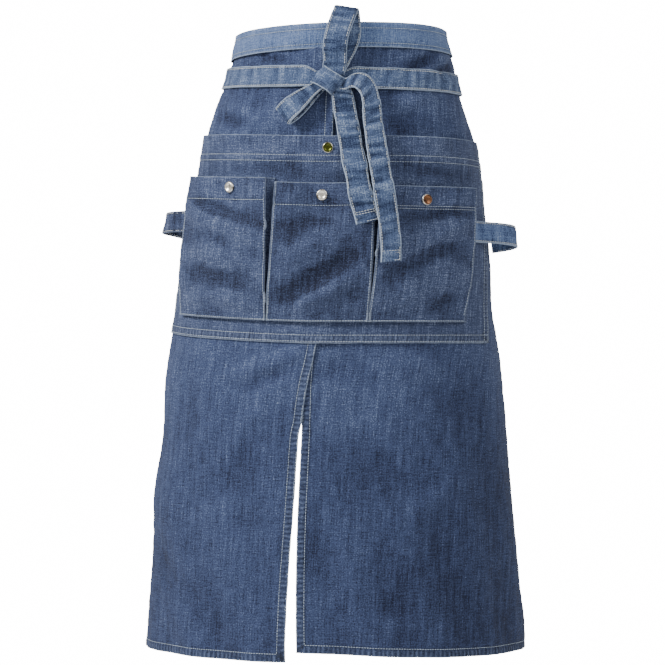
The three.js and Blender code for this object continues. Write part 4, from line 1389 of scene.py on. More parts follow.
@dataclass
class BellowsPocket:
    """A patch pocket whose sides are folded as bellows, pinched to the panel by its snap."""

    panel: PocketPanel
    name: str
    middle: float
    half: float
    rise: float
    snap: float
    snap_drop: float
    front_top: tuple[float, float]
    front_foot: tuple[float, float]
    base: tuple[float, float]
    folds: tuple[Fold, ...] = ()
    seed: int = 50
    tone_shift: float = 0.0
    # a fixed shift of the pocket front's tone
    drop: float = 55.0
    height: float = 159.0
    depth: float = 14.0
    flange: float = 2.6
    tuck: float = 3.0
    pinch: float = 3.4
    flat: float = 0.055
    pinch_reach: tuple[float, float] = (0.42, 0.2)
    hem_lines: tuple[float, ...] = (26.0,)
    folded_to: float = 27.0
    profile: tuple[tuple[float, float], ...] = (
        (0, 0.9),
        (0.16, 0.97),
        (0.45, 1),
        (0.72, 0.86),
        (0.9, 0.42),
        (1, 0.2),
    )

    def __post_init__(self) -> None:
        """Work out where the pocket hangs."""
        self.top = self.panel.drape.panel_top - self.drop + self.rise
        self.tall = self.height + self.rise

    def stand(self, side: Array, down: Array) -> Array:
        """How far the pocket's front stands off the panel.

        Args:
            side: -1 left to 1 right.
            down: share below the top.

        Returns:
            The stand.
        """
        opened = self.depth * table_curve(self.profile, 1, down)
        aside = np.clip(np.abs(side - self.snap) - 2 * self.flat, 0, None)
        below = np.clip(np.abs(down - self.snap_drop / self.height) - self.flat, 0, None)
        away = np.hypot(aside / self.pinch_reach[0], below / self.pinch_reach[1])
        return mix(opened, np.minimum(opened, self.pinch), np.exp(-away * away))

    def outline(self, s: Array, down: Array) -> tuple[Array, Array]:
        """The pocket's outline across.

        Args:
            s: place along it: -3 flange, -2 foot of the side, -1 front edge, and so on to 3.
            down: share of the pocket's height below its top edge.

        Returns:
            The distance from the pocket's middle, and the stand off the panel.
        """
        edge = self.stand(np.sign(s), down)
        left = mix(self.front_top[0], self.front_foot[0], down) - self.middle
        right = mix(self.front_top[1], self.front_foot[1], down) - self.middle
        front = np.clip(s, -1, 1)
        x_front = np.where(front < 0, -front * left, front * right)
        x_edge = np.where(s < 0, left, right)
        x_base = np.where(s < 0, self.base[0], self.base[1]) - self.middle
        x_fold = mix(x_edge, x_base, 0.5) - np.sign(s) * self.tuck * edge / self.depth
        t = np.clip(np.abs(s) - 1, 0, 1)
        x_side = np.where(t < 0.5, mix(x_edge, x_fold, t * 2), mix(x_fold, x_base, t * 2 - 1))
        x_flange = x_base + np.sign(s) * self.flange * (np.abs(s) - 2)
        across = np.abs(s)
        x = np.where(across <= 1, x_front, np.where(across <= 2, x_side, x_flange))
        y = np.where(across <= 1, self.stand(front, down), edge * (1 - t))
        return x, y

    def relief(self, u: Array, z: Array) -> Array:
        """The front's creases."""
        soft = 0.9 * Ripple(self.seed, 48, 80, 2.2, 0.8).at(u, z)
        small = 0.42 * Ripple(self.seed + 1, 20, 60, 2.6).creased(u, z)
        fine = 0.2 * Ripple(self.seed + 2, 9).at(u, z)
        return soft + small + fine + self.panel.drape.fold_gain * folds_at(self.folds, u, z)

    def surface(self, s: Array, down: Array, lift: Array) -> Array:
        """A point on the pocket's outer face.

        Args:
            s: place along the outline, -3 to 3.
            down: share of the pocket's height below its top edge.
            lift: distance outside.

        Returns:
            Points in millimetres.
        """
        x, y = self.outline(s, down)
        z = self.top - down * self.tall
        front = smooth((1.06 - np.abs(s)) / 0.12) * smooth((1 - down) / 0.12)
        settle = self.panel.relief(self.middle + x, z)
        out = y + lift + front * self.relief(self.middle + x, z)
        drape = self.panel.drape
        seat = drape.layer_gap + drape.cloth + 0.3
        return drape.panel(self.middle + x, z, seat + settle + out)

    def build(self, wardrobe: Wardrobe) -> bpy.types.Object:
        """Make the pocket.

        Args:
            wardrobe: the finishes.

        Returns:
            The pocket's object.
        """
        edge = [-3, -2.5, -2, -1.88, -1.6, -1.5, -1.4, -1.12, -1.03]
        across = np.concatenate([edge, spaced(-1, 1, 0.034), [-e for e in edge[::-1]]])
        rows = [k / self.tall for k in (0.8, 25, 26, self.folded_to, self.tall - 3, self.tall - 1)]
        if len(self.hem_lines) > 1:
            rows += [k / self.tall for k in (22, 23, 24)]
        down_first = spaced(0, 1, 2.0 / self.tall, rows)
        patch = Patch(self.name, across, -down_first[::-1])
        s, down = patch.a, -patch.b
        top, foot = down * self.tall, (1 - down) * self.tall
        groove = grooves(top, self.hem_lines, 1.2)
        on_front = smooth((1.04 - np.abs(s)) / 0.08)
        folded = smooth((self.folded_to - top) / 3)
        points = self.surface(s, down, 0.4 * folded * on_front - 0.4 * groove * on_front)
        x, _ = self.outline(s, down)
        u, z = self.middle + x, self.top - top
        crest = np.abs(np.abs(s) - 1) * self.half
        hem = np.minimum(np.minimum(top, foot), np.where(np.abs(s) < 1.4, crest + 0.2, 9.0))
        # painted shade in the pocket fronts' creases and a little painted light on their ridges
        ridges = np.clip(on_front * self.relief(u, z) / 2.0, -1, 0.2)
        facts = {
            "hem": hem,
            "run": u,
            "rope": 0.4 * smooth((4 - foot) / 2) * on_front,
            # painted light on the bellows sides, which sit in shade between the pockets; the front takes a
            # fixed tone shift
            "wear": ridges + mix(0.5, self.tone_shift, on_front),
            "groove": groove * on_front,
        }
        drape = self.panel.drape
        share = np.where(top < self.folded_to, 1.0, drape.single)
        side = np.sign(s) * np.clip(np.abs(s) - 1, 0, 2) * 10
        denim, reverse = wardrobe.materials[Cloth.POCKET], wardrobe.materials[Cloth.REVERSE]
        return patch.finish(points, (u + side, z), facts, denim, reverse, drape.hem_cloth, share)

    def sew(self, thread: Thread) -> None:
        """Sew the pocket's hem, foot and front edges.

        Args:
            thread: takes the stitches.
        """
        s = np.linspace(-0.97, 0.97, 60)
        for line in self.hem_lines:
            thread.sew(self.surface, s, np.full(60, line / self.tall))
        thread.sew(self.surface, s, np.full(60, 1 - 1.5 / self.tall))
        down = np.linspace(0.01, 0.95, 60)
        inner = 1 - 2.0 / self.half
        for edge in (-inner, inner):
            thread.sew(self.surface, np.full(60, edge), down)


@dataclass
class Snap:
    """A metal snap cap with a rolled rim, set on cloth."""

    name: str
    at: Array
    out: Array
    radius: float = 6.6
    tall: float = 3.0
    rim_from: float = 0.78
    # share of the radius, share of the height
    profile: tuple[tuple[float, float], ...] = (
        (0.0, 0.62),
        (0.3, 0.66),
        (0.5, 0.78),
        (0.62, 0.96),
        (0.72, 1.0),
        (0.84, 0.94),
        (0.95, 0.7),
        (1.0, 0.42),
        (0.97, 0.16),
        (0.86, 0.0),
        (0.0, 0.0),
    )

    def build(self, metal: bpy.types.Material, rim: bpy.types.Material) -> bpy.types.Object:
        """Spin the cap's profile and set it on its seat.

        Args:
            metal: the material of the cap's middle.
            rim: the material of its rolled rim.

        Returns:
            The cap's object.
        """
        r, h = self.radius * MM, self.tall * MM
        bm = bmesh.new()
        verts = [bm.verts.new((x * r, 0, y * h)) for x, y in self.profile]
        edges = [bm.edges.new(pair) for pair in zip(verts, verts[1:])]
        bmesh.ops.spin(
            bm,
            geom=verts + edges,
            cent=(0, 0, 0),
            axis=(0, 0, 1),
            angle=2 * math.pi,
            steps=40,
            use_merge=True,
        )
        bmesh.ops.remove_doubles(bm, verts=bm.verts, dist=1e-6)
        bmesh.ops.recalc_face_normals(bm, faces=bm.faces)
        for face in bm.faces:
            middle = face.calc_center_median()
            face.material_index = int(math.hypot(middle.x, middle.y) > self.rim_from * r)
        mesh = bpy.data.meshes.new(self.name)
        bm.to_mesh(mesh)
        bm.free()
        out = self.out / np.linalg.norm(self.out)
        side = np.cross(out, (0, 0, 1.0))
        side /= np.linalg.norm(side)
        turn = np.stack([side, np.cross(out, side), out], axis=1)
        points = points_of(mesh) @ turn.T + self.at * MM
        mesh.vertices.foreach_set("co", points.ravel())
        mesh.shade_smooth()
        mesh.materials.append(metal)
        mesh.materials.append(rim)
        piece = placed(self.name, mesh)
        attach(piece, "root")
        return piece


def spline(rows: Sequence[Sequence[float]], count: int) -> Array:
    """A smooth centripetal curve through rows of numbers.

    Args:
        rows: points of any width; the first three columns set the pace.
        count: how many points to give.

    Returns:
        The curve's points.
    """
    points = np.asarray(rows, dtype=float)
    first = points[0] * 2 - points[1]
    last = points[-1] * 2 - points[-2]
    padded = np.vstack([first, points, last])
    pace = np.linalg.norm(np.diff(padded[:, :3], axis=0), axis=1) ** 0.5
    knots = np.concatenate([[0], np.cumsum(np.maximum(pace, 1e-4))])
    t = np.linspace(knots[1], knots[-2], count)
    i = np.clip(np.searchsorted(knots, t, side="right") - 1, 1, len(points) - 1)
    result = []
    for k, value in zip(i, t):
        p, q = padded[k - 1 : k + 3], knots[k - 1 : k + 3]

        def part(a: Array, b: Array, start: float, end: float) -> Array:
            """Mix two points by where the value lies between two knots."""
            return (end - value) / (end - start) * a + (value - start) / (end - start) * b

        a1, a2, a3 = (part(p[n], p[n + 1], q[n], q[n + 1]) for n in range(3))
        b1, b2 = part(a1, a2, q[0], q[2]), part(a2, a3, q[1], q[3])
        result.append(part(b1, b2, q[1], q[2]))
    return np.array(result)


@dataclass
class Strap:
    """A flat woven strap along stations, each a middle and a way across, on a surface."""

    name: str
    surface: Surface
    middles: Array
    widths: Array
    width: float = STRAP_WIDTH
    thick: float = STRAP_THICK
    pucker: float = 0.5
    seed: int = 70
    end_hem: float = 0.0
    # a fixed shift of the strap's tone, darker by default
    tone_shift: float = -0.3

    def build(self, wardrobe: Wardrobe, cloth: Cloth, thread: Thread | None) -> bpy.types.Object:
        """Make the strap, with a stitch line along each edge.

        Args:
            wardrobe: the finishes.
            cloth: which denim it is made of.
            thread: takes the stitches, if it has any.

        Returns:
            The strap's object.
        """
        spread = np.linalg.norm(self.widths, axis=1, keepdims=True)
        widths = self.widths / spread
        ahead = np.gradient(self.middles, axis=0)
        ahead /= np.linalg.norm(ahead, axis=1, keepdims=True)
        normals = np.cross(ahead, widths)
        normals /= np.linalg.norm(normals, axis=1, keepdims=True)
        run = path_length(self.middles)
        half = self.width / 2
        patch = Patch(self.name, strap_places(half), run)
        row = np.rint(np.interp(patch.b, run, np.arange(len(run)))).astype(int)
        edge = half - np.abs(patch.a)
        ripple = Ripple(self.seed, 11, 90, 0.9).at(patch.a * 0.6, patch.b)
        broad = Ripple(self.seed + 1, 34, 90, 1.2).at(patch.a, patch.b)
        groove = grooves(edge, (STRAP_STITCH,), 0.9)
        off = self.pucker * (0.75 * ripple + 0.8 * broad)
        off = off - 0.25 * groove + 0.3 * smooth((STRAP_STITCH - edge) / 2)
        wander = Ripple(self.seed + 2, 40).at(patch.b, patch.b * 0)
        width_now = patch.a * (1 + 0.03 * self.pucker * wander)
        ways = widths * np.minimum(spread, 1.0)
        local = self.middles[row] + ways[row] * width_now[:, None] + normals[row] * off[:, None]
        points = self.surface(local[:, 0], local[:, 1], local[:, 2])
        facts = {
            "hem": edge,
            "run": patch.b,
            "rope": 0.55 * smooth((4.5 - edge) / 2),
            # painted shade in the puckers' hollows and painted light on their crests, beside their real
            # fade, plus a fixed tone shift
            "wear": np.clip(off / (0.6 * self.pucker + 0.2), -1, 1) + self.tone_shift,
            "groove": groove,
        }
        denim = wardrobe.materials[cloth]
        share = np.where(edge < 0.1, 0.75, 1.0)
        piece = patch.finish(points, (patch.a, patch.b), facts, denim, denim, self.thick, share, BOTH_WAYS)
        if thread is not None:
            self._sew(thread, ways, normals, run, half)
        return piece

    def _sew(self, thread: Thread, widths: Array, normals: Array, run: Array, half: float) -> None:
        """Sew along both edges of both faces, and across a hemmed end.

        Args:
            thread: takes the stitches.
            widths: ways across.
            normals: ways out.
            run: length at each station.
            half: half width.
        """

        def at(a: Array, b: Array, lift: Array) -> Array:
            """A point across, along and off the strap's middle sheet."""
            row = np.interp(b, run, np.arange(len(run)))
            low = np.clip(row.astype(int), 0, len(run) - 2)
            part = (row - low)[:, None]

            def pick(values: Array) -> Array:
                """A value between two stations."""
                return values[low] * (1 - part) + values[low + 1] * part

            spot = pick(self.middles) + pick(widths) * a[:, None] + pick(normals) * lift[:, None]
            return self.surface(spot[:, 0], spot[:, 1], spot[:, 2])

        def on_face(face: int) -> Surface:
            """The strap's outer (1) or inner (-1) face as a surface to sew on."""
            shift = face * (self.thick / 2 + 0.05)
            return lambda a, b, lift: at(a, b, shift + face * (lift - 0.1))

        faces = [on_face(1), on_face(-1)]
        inner = half - STRAP_STITCH
        count = max(12, int(run[-1] / 4))
        b = np.linspace(run[0] + 1, run[-1] - 1, count)
        for a in (-inner, inner):
            for face in faces:
                thread.sew(face, np.full(count, a), b)
        if self.end_hem > 0:
            a = np.linspace(-inner, inner, 12)
            for back in (1.5, self.end_hem, self.end_hem + 2.5):
                for face in faces:
                    thread.sew(face, a, np.full(12, run[-1] - back))


@dataclass
class Ties:
    """The two ties from the band's back ends, crossed behind and brought to the front."""

    drape: Drape
    band: Waistband
    drop: float = 43.0
    thick: float = STRAP_THICK
    half: float = STRAP_WIDTH / 2
    knot_side: float = -2.5
    knot_length: float = 31.0
    from_end: float = 14.0
    into_knot: float = 0.3
    clear: float = 0.35
    on_band_to: float = 0.06
    stations: int = 260
    gather_from: float = 18.0
    gather_over: float = 26.0
    gather: float = 0.4
    gather_fall: float = 5.0
    # round, fall, clear
    left: tuple[tuple[float, ...], ...] = (
        (0, 0, 1.5),
        (0.1, 0.32, 2.4),
        (0.205, 0.66, 2.6),
        (0.31, 0.76, 2.5),
        (0.42, 0.8, 0.2),
        (0.52, 0.82, 0),
        (0.75, 0.93, 0.05),
        (0.9, 1, 0.22),
        (1, 1.03, 0.35),
    )
    right: tuple[tuple[float, ...], ...] = (
        (0, 0, 1.5),
        (0.1, 0.34, 0.9),
        (0.205, 0.68, 0.1),
        (0.3, 0.86, 0),
        (0.52, 1.04, 0),
        (0.75, 1.09, 0),
        (0.9, 1.09, 0.1),
        (1, 1.08, 0.35),
    )

    def _route(self, side: int) -> Array:
        """Middles of a tie, side -1 left or 1 right.

        Args:
            side: which tie.

        Returns:
            Rows of u, z and lift.
        """
        route = self.left if side < 0 else self.right
        form = self.drape.form
        start = -side * (float(form.back_edge(np.zeros(1))[0]) - self.from_end)
        zero = np.zeros(1)
        first = float(form.angle(np.array([start]), zero)[0])
        ending = np.array([self.knot_side + side * self.knot_length * self.into_knot])
        last = float(form.angle(ending, zero)[0]) - side * 2 * math.pi
        share = np.linspace(0, 0.995, self.stations)
        layers = table_curve(route, 2, share) * (self.thick + self.drape.layer_gap)
        on_band = np.where(share < self.on_band_to, self.band.face, 0.0)
        lift = self.drape.layer_gap + self.thick / 2 + self.clear + np.maximum(layers, on_band)
        shift = float(self.band.shift(np.array([start]))[0])
        z = shift * (1 - share) - table_curve(route, 1, share) * self.drop
        angle = mix(first, last, share)
        u = form.around(angle, z)
        return np.stack([u, z, lift], axis=1)

    def build(self, wardrobe: Wardrobe, thread: Thread) -> list[bpy.types.Object]:
        """Make both ties.

        Args:
            wardrobe: the finishes.
            thread: takes the stitches.

        Returns:
            The two ties.
        """
        ties = ((-1, "tie_left"), (1, "tie_right"))
        return [self._tie(name, side, self._route(side), wardrobe, thread) for side, name in ties]

    def _tie(
        self, name: str, side: int, middles: Array, wardrobe: Wardrobe, thread: Thread
    ) -> bpy.types.Object:
        """Make one tie from its middles.

        Args:
            name: its node.
            side: which tie.
            middles: its route.
            wardrobe: the finishes.
            thread: takes the stitches.

        Returns:
            The tie.
        """
        run = path_length(self.drape.over(*middles.T))
        order = run if side < 0 else -run[::-1]
        patch = Patch(name, order, strap_places(self.half))
        along = np.abs(patch.a)
        u = self._unwound(middles[:, 0], run, along)
        edge = self.half - np.abs(patch.b)
        ripple = Ripple(81 + side, 16, 0, 1.4).at(along, patch.b * 0.5)
        broad = Ripple(84 + side, 60, 0, 1.0).at(along, patch.b)
        groove = grooves(edge, (STRAP_STITCH,), 0.9)
        fray = 0.5 * Ripple(87 + side, 45).at(along, along * 0)
        z = self._level(middles, run, along, patch.b) + 0.5 * fray
        lift = np.interp(along, run, middles[:, 2]) + 0.35 * ripple + 0.4 * broad - 0.25 * groove
        points = self.drape.over(u, z, lift)
        facts = {
            "hem": edge,
            "run": along,
            "rope": 0.5 * smooth((4.5 - edge) / 2),
            # painted light on the ripples' crests and painted shade in their hollows, beside their real
            # fade
            "wear": 0.6 * ripple,
            "groove": groove,
        }
        denim = wardrobe.materials[Cloth.STRAP]
        piece = patch.finish(points, (along, patch.b), facts, denim, denim, self.thick, None, BOTH_WAYS)

        def on_tie(a: Array, b: Array, up: Array) -> Array:
            """A point on the tie's outer face."""
            return self.drape.over(
                self._unwound(middles[:, 0], run, a),
                self._level(middles, run, a, b),
                np.interp(a, run, middles[:, 2]) + up + self.thick / 2,
            )

        at = np.linspace(2, run[-1] - 2, 150)
        inner = self.half - STRAP_STITCH
        for row in (-inner, inner):
            thread.sew(on_tie, at, np.full(150, row))
        return piece

    def _level(self, middles: Array, run: Array, along: Array, across: Array) -> Array:
        """Height of a point of the tie, which gathers and drops into the knot."""
        ending = smooth((along - run[-1] + self.gather_from) / self.gather_over)
        level = np.interp(along, run, middles[:, 1])
        return level + across * (1 - self.gather * ending) - self.gather_fall * ending

    @staticmethod
    def _unwound(u: Array, run: Array, along: Array) -> Array:
        """Arc length at a distance along the tie, across the jump at the back."""
        low = np.clip(np.searchsorted(run, along, side="right") - 1, 0, len(u) - 2)
        part = (along - run[low]) / np.maximum(run[low + 1] - run[low], 1e-6)
        jump = np.abs(u[low + 1] - u[low]) > 200
        return np.where(jump, np.where(part < 0.5, u[low], u[low + 1]), mix(u[low], u[low + 1], part))


@dataclass
class Bow:
    """The bow: a knot, two loops and two tails."""

    drape: Drape
    knot: tuple[float, float, float] = (26.5, 23.0, 13.0)
    knot_turn: float = -38.0
    knot_cloth: float = 1.8
    centre: tuple[float, float, float] = (-2.5, -50.8, 9.68)
    # along, across, lift, lean, roll, share of the width
    upper: tuple[tuple[float, ...], ...] = (
        (0.08, 0.2, 0.78, 0, 0),
        (0.3, 0.24, 0.84, 0, 0),
        (0.5, 0.22, 1.25, -4, 0),
        (0.72, 0.28, 1.45, -8, 4),
        (0.95, 0.46, 1.42, -10, 6),
        (1.11, 0.62, 1.25, -10, 6),
        (1.165, 0.68, 1.04, -10, 4),
        (1.12, 0.74, 0.82, -8, 0),
        (0.95, 0.8, 0.62, -4, 0),
        (0.7, 0.8, 0.56, 6, 0),
        (0.45, 0.64, 0.56, 14, 0),
        (0.26, 0.44, 0.5, 20, 0),
        (0.08, 0.25, 0.5, 20, 0),
    )
    lower: tuple[tuple[float, ...], ...] = (
        (0.1, -0.08, 0.8, 0, 0, 0.45),
        (0.34, -0.06, 1.1, 0, 0, 0.55),
        (0.5, -0.04, 1.36, 0, 0, 0.72),
        (0.7, -0.02, 1.42, 0, 0, 0.9),
        (0.9, 0, 1.36, 0, 0),
        (1.05, 0.02, 1.2, 0, 0),
        (1.1, 0.04, 1.0, 0, 0),
        (1.05, 0.06, 0.8, 0, 0),
        (0.88, 0.08, 0.64, 0, 0),
        (0.62, 0.06, 0.54, 0, 0, 0.85),
        (0.36, 0.04, 0.5, 0, 0, 0.6),
        (0.1, 0, 0.5, 0, 0, 0.45),
    )
    short: tuple[tuple[float, ...], ...] = (
        (0.02, 0.5, 0.5, -12, 0, 0.8),
        (0.1, 0.66, 0.5, -4, 0, 0.95),
        (0.22, 0.8, 0.55, 3, 0),
        (0.38, 1.0, 0.62, 5, 0),
        (0.55, 1.18, 0.9, 6, 0),
        (0.7, 1.36, 1.45, 7, 0),
        (0.85, 1.53, 1.72, 10, 0),
        (0.98, 1.76, 1.78, 14, 0),
        (1.1, 1.98, 1.8, 15, 0),
    )
    long: tuple[tuple[float, ...], ...] = (
        (0.02, 0.42, 0.5, 88, 0, 0.5),
        (0.02, 0.8, 0.95, 86, 0, 0.55),
        (0.002, 1.16, 1.45, 78, 0, 0.7),
        (0.018, 1.5, 1.75, 62, 0, 0.8),
        (0.062, 1.76, 1.7, 48, 0, 0.82),
        (0.14, 1.93, 1.5, 31, 0, 0.82),
        (0.22, 2.02, 1.45, 18, 0, 0.82),
        (0.3, 2.12, 1.6, 12, 0, 0.84),
        (0.46, 2.33, 1.95, 9, 0, 0.84),
        (0.6, 2.55, 2.25, 9, 0, 0.84),
        (0.74, 2.8, 2.25, 8, 0, 0.84),
        (0.86, 2.97, 2.2, 5, 0, 0.84),
        (0.945, 3.03, 2.2, 5, 0, 0.82),
    )

    def _stations(
        self, table: Sequence[Sequence[float]], length: float, heading: float, count: int
    ) -> tuple[Array, Array]:
        """Middles and ways across of a strap of the bow.

        Args:
            table: its rows.
            length: along it.
            heading: degrees.
            count: stations.

        Returns:
            Both arrays, three columns each.
        """
        turn = math.radians(heading)
        way = np.array([math.cos(turn), math.sin(turn)])
        side = np.array([way[1], -way[0]]) * math.copysign(1, way[1])
        rows = []
        for along, across, lift, lean, roll, *gather in table:
            spot = np.array(self.centre[:2]) + way * along * length + side * across * STRAP_WIDTH
            tilt = math.atan2(side[1], side[0]) + math.radians(lean)
            flat = math.cos(math.radians(roll))
            wide = (flat * math.cos(tilt), flat * math.sin(tilt), math.sin(math.radians(roll)))
            share = gather[0] if gather else 1.0
            rows.append((spot[0], spot[1], lift * self.knot[2], *(share * part for part in wide)))
        curve = spline(rows, count)
        return curve[:, :3], curve[:, 3:]

    def build(self, wardrobe: Wardrobe, thread: Thread) -> dict[str, bpy.types.Object]:
        """Make the knot, the loops and the tails.

        Args:
            wardrobe: the finishes.
            thread: takes the stitches.

        Returns:
            The pieces by name.
        """
        made = {}
        # name, table, length, heading, rows, pucker, end hem
        parts = (
            ("bow_loop_upper", self.upper, 72.0, 90.0, 90, 0.6, 0.0),
            ("bow_loop_lower", self.lower, 57.0, 220.0, 80, 0.6, 0.0),
            ("tail_short", self.short, 150.0, -90.0, 90, 1.5, 11.0),
            ("tail_long", self.long, 222.0, -90.0, 130, 1.5, 10.0),
        )
        for number, (name, table, length, heading, count, pucker, hem) in enumerate(parts):
            middles, widths = self._stations(table, length, heading, count)
            strap = Strap(
                name, self.drape.over, middles, widths, pucker=pucker, seed=90 + 5 * number, end_hem=hem
            )
            made[name] = strap.build(wardrobe, Cloth.STRAP, thread)
        made["bow_knot"] = self._knot(wardrobe)
        return made

    def _knot(self, wardrobe: Wardrobe) -> bpy.types.Object:
        """The strap wrapped round the crossing, with its two raised edges.

        Args:
            wardrobe: the finishes.

        Returns:
            The knot's object.
        """
        around = spaced(0, 2 * math.pi, 2 * math.pi / 64)
        outer = np.array([0.28, 0.55, 0.78, 0.9, 0.97, 1])
        across = np.concatenate([-outer[::-1], [0], outer])
        patch = Patch("bow_knot", across, around)
        a, b = patch.a, patch.b
        turn = math.radians(self.knot_turn)
        wide, tall, thick = self.knot
        bulge = 1 - 0.1 * np.abs(a) ** 3 + 0.05 * smooth((np.abs(a) - 0.72) / 0.2)
        crease = 0.05 * np.sin(3.2 * a + 1.3 * np.sin(2 * b)) + 0.03 * np.sin(7 * a + 2 * b)
        square = np.sign(np.cos(b)) * np.abs(np.cos(b)) ** 0.75
        x = wide / 2 * square * (bulge + crease)
        y = tall / 2 * a * (1 - 0.08 * np.sin(b) ** 2) + 1.2 * square
        h = (thick / 2 + 1.4) * np.sign(np.sin(b)) * np.abs(np.sin(b)) ** 0.8 * (bulge + crease)
        u = self.centre[0] + x * math.cos(turn) - y * math.sin(turn)
        z = self.centre[1] + x * math.sin(turn) + y * math.cos(turn)
        points = self.drape.over(u, z, self.centre[2] - h)
        edge = (1 - np.abs(a)) * tall / 2
        facts = {
            "hem": edge,
            "run": b * wide / 2,
            "rope": 0.4 * smooth((4 - edge) / 2),
            # painted light on the creases' crests and painted shade in their hollows, beside their real
            # fade
            "wear": crease * 10,
            "groove": grooves(edge, (STRAP_STITCH,), 0.8),
        }
        denim = wardrobe.materials[Cloth.STRAP]
        piece = patch.finish(points, (b * wide / 2, a * tall / 2), facts, denim, denim, self.knot_cloth)
        bm = bmesh.new()
        bm.from_mesh(piece.data)
        bmesh.ops.remove_doubles(bm, verts=bm.verts, dist=1e-5)
        bm.to_mesh(piece.data)
        bm.free()
        return piece


@dataclass
class ToolLoop:
    """A strap at the panel's end that stands off as a loop for a tool."""

    drape: Drape
    side: int
    start: float = 199.0
    reach: float = 44.0
    bulge: float = 30.0
    drop: float = 108.0
    left_longer: float = 1.18
    left_higher: float = 4.0
    # out, lift, fall
    route: tuple[tuple[float, float, float], ...] = (
        (-0.28, 0, 0),
        (0, 0, 0),
        (0.22, 0.2, 0.02),
        (0.5, 0.62, 0.06),
        (0.78, 0.92, 0.12),
        (1, 1, 0.18),
        (1.16, 0.86, 0.26),
        (1.2, 0.6, 0.34),
        (1.14, 0.34, 0.4),
        (1.04, 0.14, 0.44),
        (1, 0, 0.46),
    )

    def build(self, wardrobe: Wardrobe, thread: Thread) -> bpy.types.Object:
        """Make the loop.

        Args:
            wardrobe: the finishes.
            thread: takes the stitches.

        Returns:
            The loop's object.
        """
        d = self.drape
        start = d.panel_side + self.side * self.start
        longer, higher = (1.0, 0.0) if self.side > 0 else (self.left_longer, self.left_higher)
        reach = self.side * longer * self.reach
        level = d.panel_top - self.drop + higher
        seat = d.layer_gap + d.cloth + 0.4
        rows = [
            (start + out * reach, level - fall * STRAP_WIDTH, seat + lift * self.bulge, 0, 1, 0)
            for out, lift, fall in self.route
        ]
        curve = spline(rows, 70)
        name = "tool_loop_left" if self.side < 0 else "tool_loop_right"
        strap = Strap(name, d.panel, curve[:, :3], curve[:, 3:], pucker=0.4, seed=130 + self.side)
        return strap.build(wardrobe, Cloth.BAND if self.side > 0 else Cloth.POCKET, thread)


@dataclass
class Studio:
    """Camera, floor and light."""

    azimuth: float = 6.0
    distance: float = 2.8
    aside: float = -0.012
    height: float = -0.341
    lens: float = 126.3
    floor_z: float = -1.05
    floor_radius: float = 2.1
    key: float = 118.0
    world: float = 0.54
    seen: float = 16.0
    aim: tuple[float, float, float] = (-0.01, 0.0, -0.3)

    def build(self) -> None:
        """Put up the camera, the floor and the lights."""
        turn = math.radians(self.azimuth)
        right = np.array([math.cos(turn), math.sin(turn), 0])
        ahead = np.array([-math.sin(turn), math.cos(turn), 0])
        data = bpy.data.cameras.new("camera")
        data.sensor_width = 36.0
        data.lens = self.lens
        camera = placed("camera", data)
        place = self.aside * right - self.distance * ahead
        camera.location = (place[0], place[1], self.height)
        camera.rotation_euler = (math.pi / 2, 0, turn)
        bpy.context.scene.camera = camera
        self._floor()
        self._lights()

    def _floor(self) -> None:
        """A wide pale floor, well below the hem."""
        bm = bmesh.new()
        bmesh.ops.create_circle(bm, cap_ends=True, segments=64, radius=self.floor_radius)
        mesh = bpy.data.meshes.new("floor")
        bm.to_mesh(mesh)
        bm.free()
        points = points_of(mesh)
        points[:, 2] = self.floor_z
        mesh.vertices.foreach_set("co", points.ravel())
        g = Graph("floor_pale")
        speck = g.noise(g.object_map(), 6, 3, 0.5)
        g.shade(Base_Color=g.blend(speck, linear(246, 246, 246), linear(252, 252, 252)), Roughness=0.85)
        mesh.materials.append(g.material)
        placed("floor", mesh)

    def _lights(self) -> None:
        """A large key light from the upper left, and an even pale surround."""
        world = bpy.data.worlds.new("surround")
        world.use_nodes = True
        tree = world.node_tree
        lit = tree.nodes["Background"]
        shown = tree.nodes.new("ShaderNodeBackground")
        choice = tree.nodes.new("ShaderNodeMixShader")
        rays = tree.nodes.new("ShaderNodeLightPath")
        for node, strength in ((lit, self.world), (shown, self.seen)):
            node.inputs["Color"].default_value = (1, 1, 1, 1)
            node.inputs["Strength"].default_value = strength
        tree.links.new(rays.outputs["Is Camera Ray"], choice.inputs[0])
        tree.links.new(lit.outputs[0], choice.inputs[1])
        tree.links.new(shown.outputs[0], choice.inputs[2])
        tree.links.new(choice.outputs[0], tree.nodes["World Output"].inputs[0])
        bpy.context.scene.world = world
        # name, place, size, power
        for name, place, size, power in (
            ("key", (-2.1, -1.6, 1.5), 0.9, self.key),
            ("fill", (1.5, -1.7, 1.4), 1.6, self.key * 0.2),
            ("rim", (0.6, 2.2, 1.2), 1.6, self.key * 0.1),
        ):
            data = bpy.data.lights.new(name, "AREA")
            data.energy = power
            data.size = size
            lamp = placed(name, data)
            toward = np.array(self.aim) - np.array(place)
            toward /= np.linalg.norm(toward)
            lamp.location = place
            heading = math.atan2(toward[1], toward[0]) - math.pi / 2
            lamp.rotation_euler = (math.acos(-toward[2]), 0, heading)


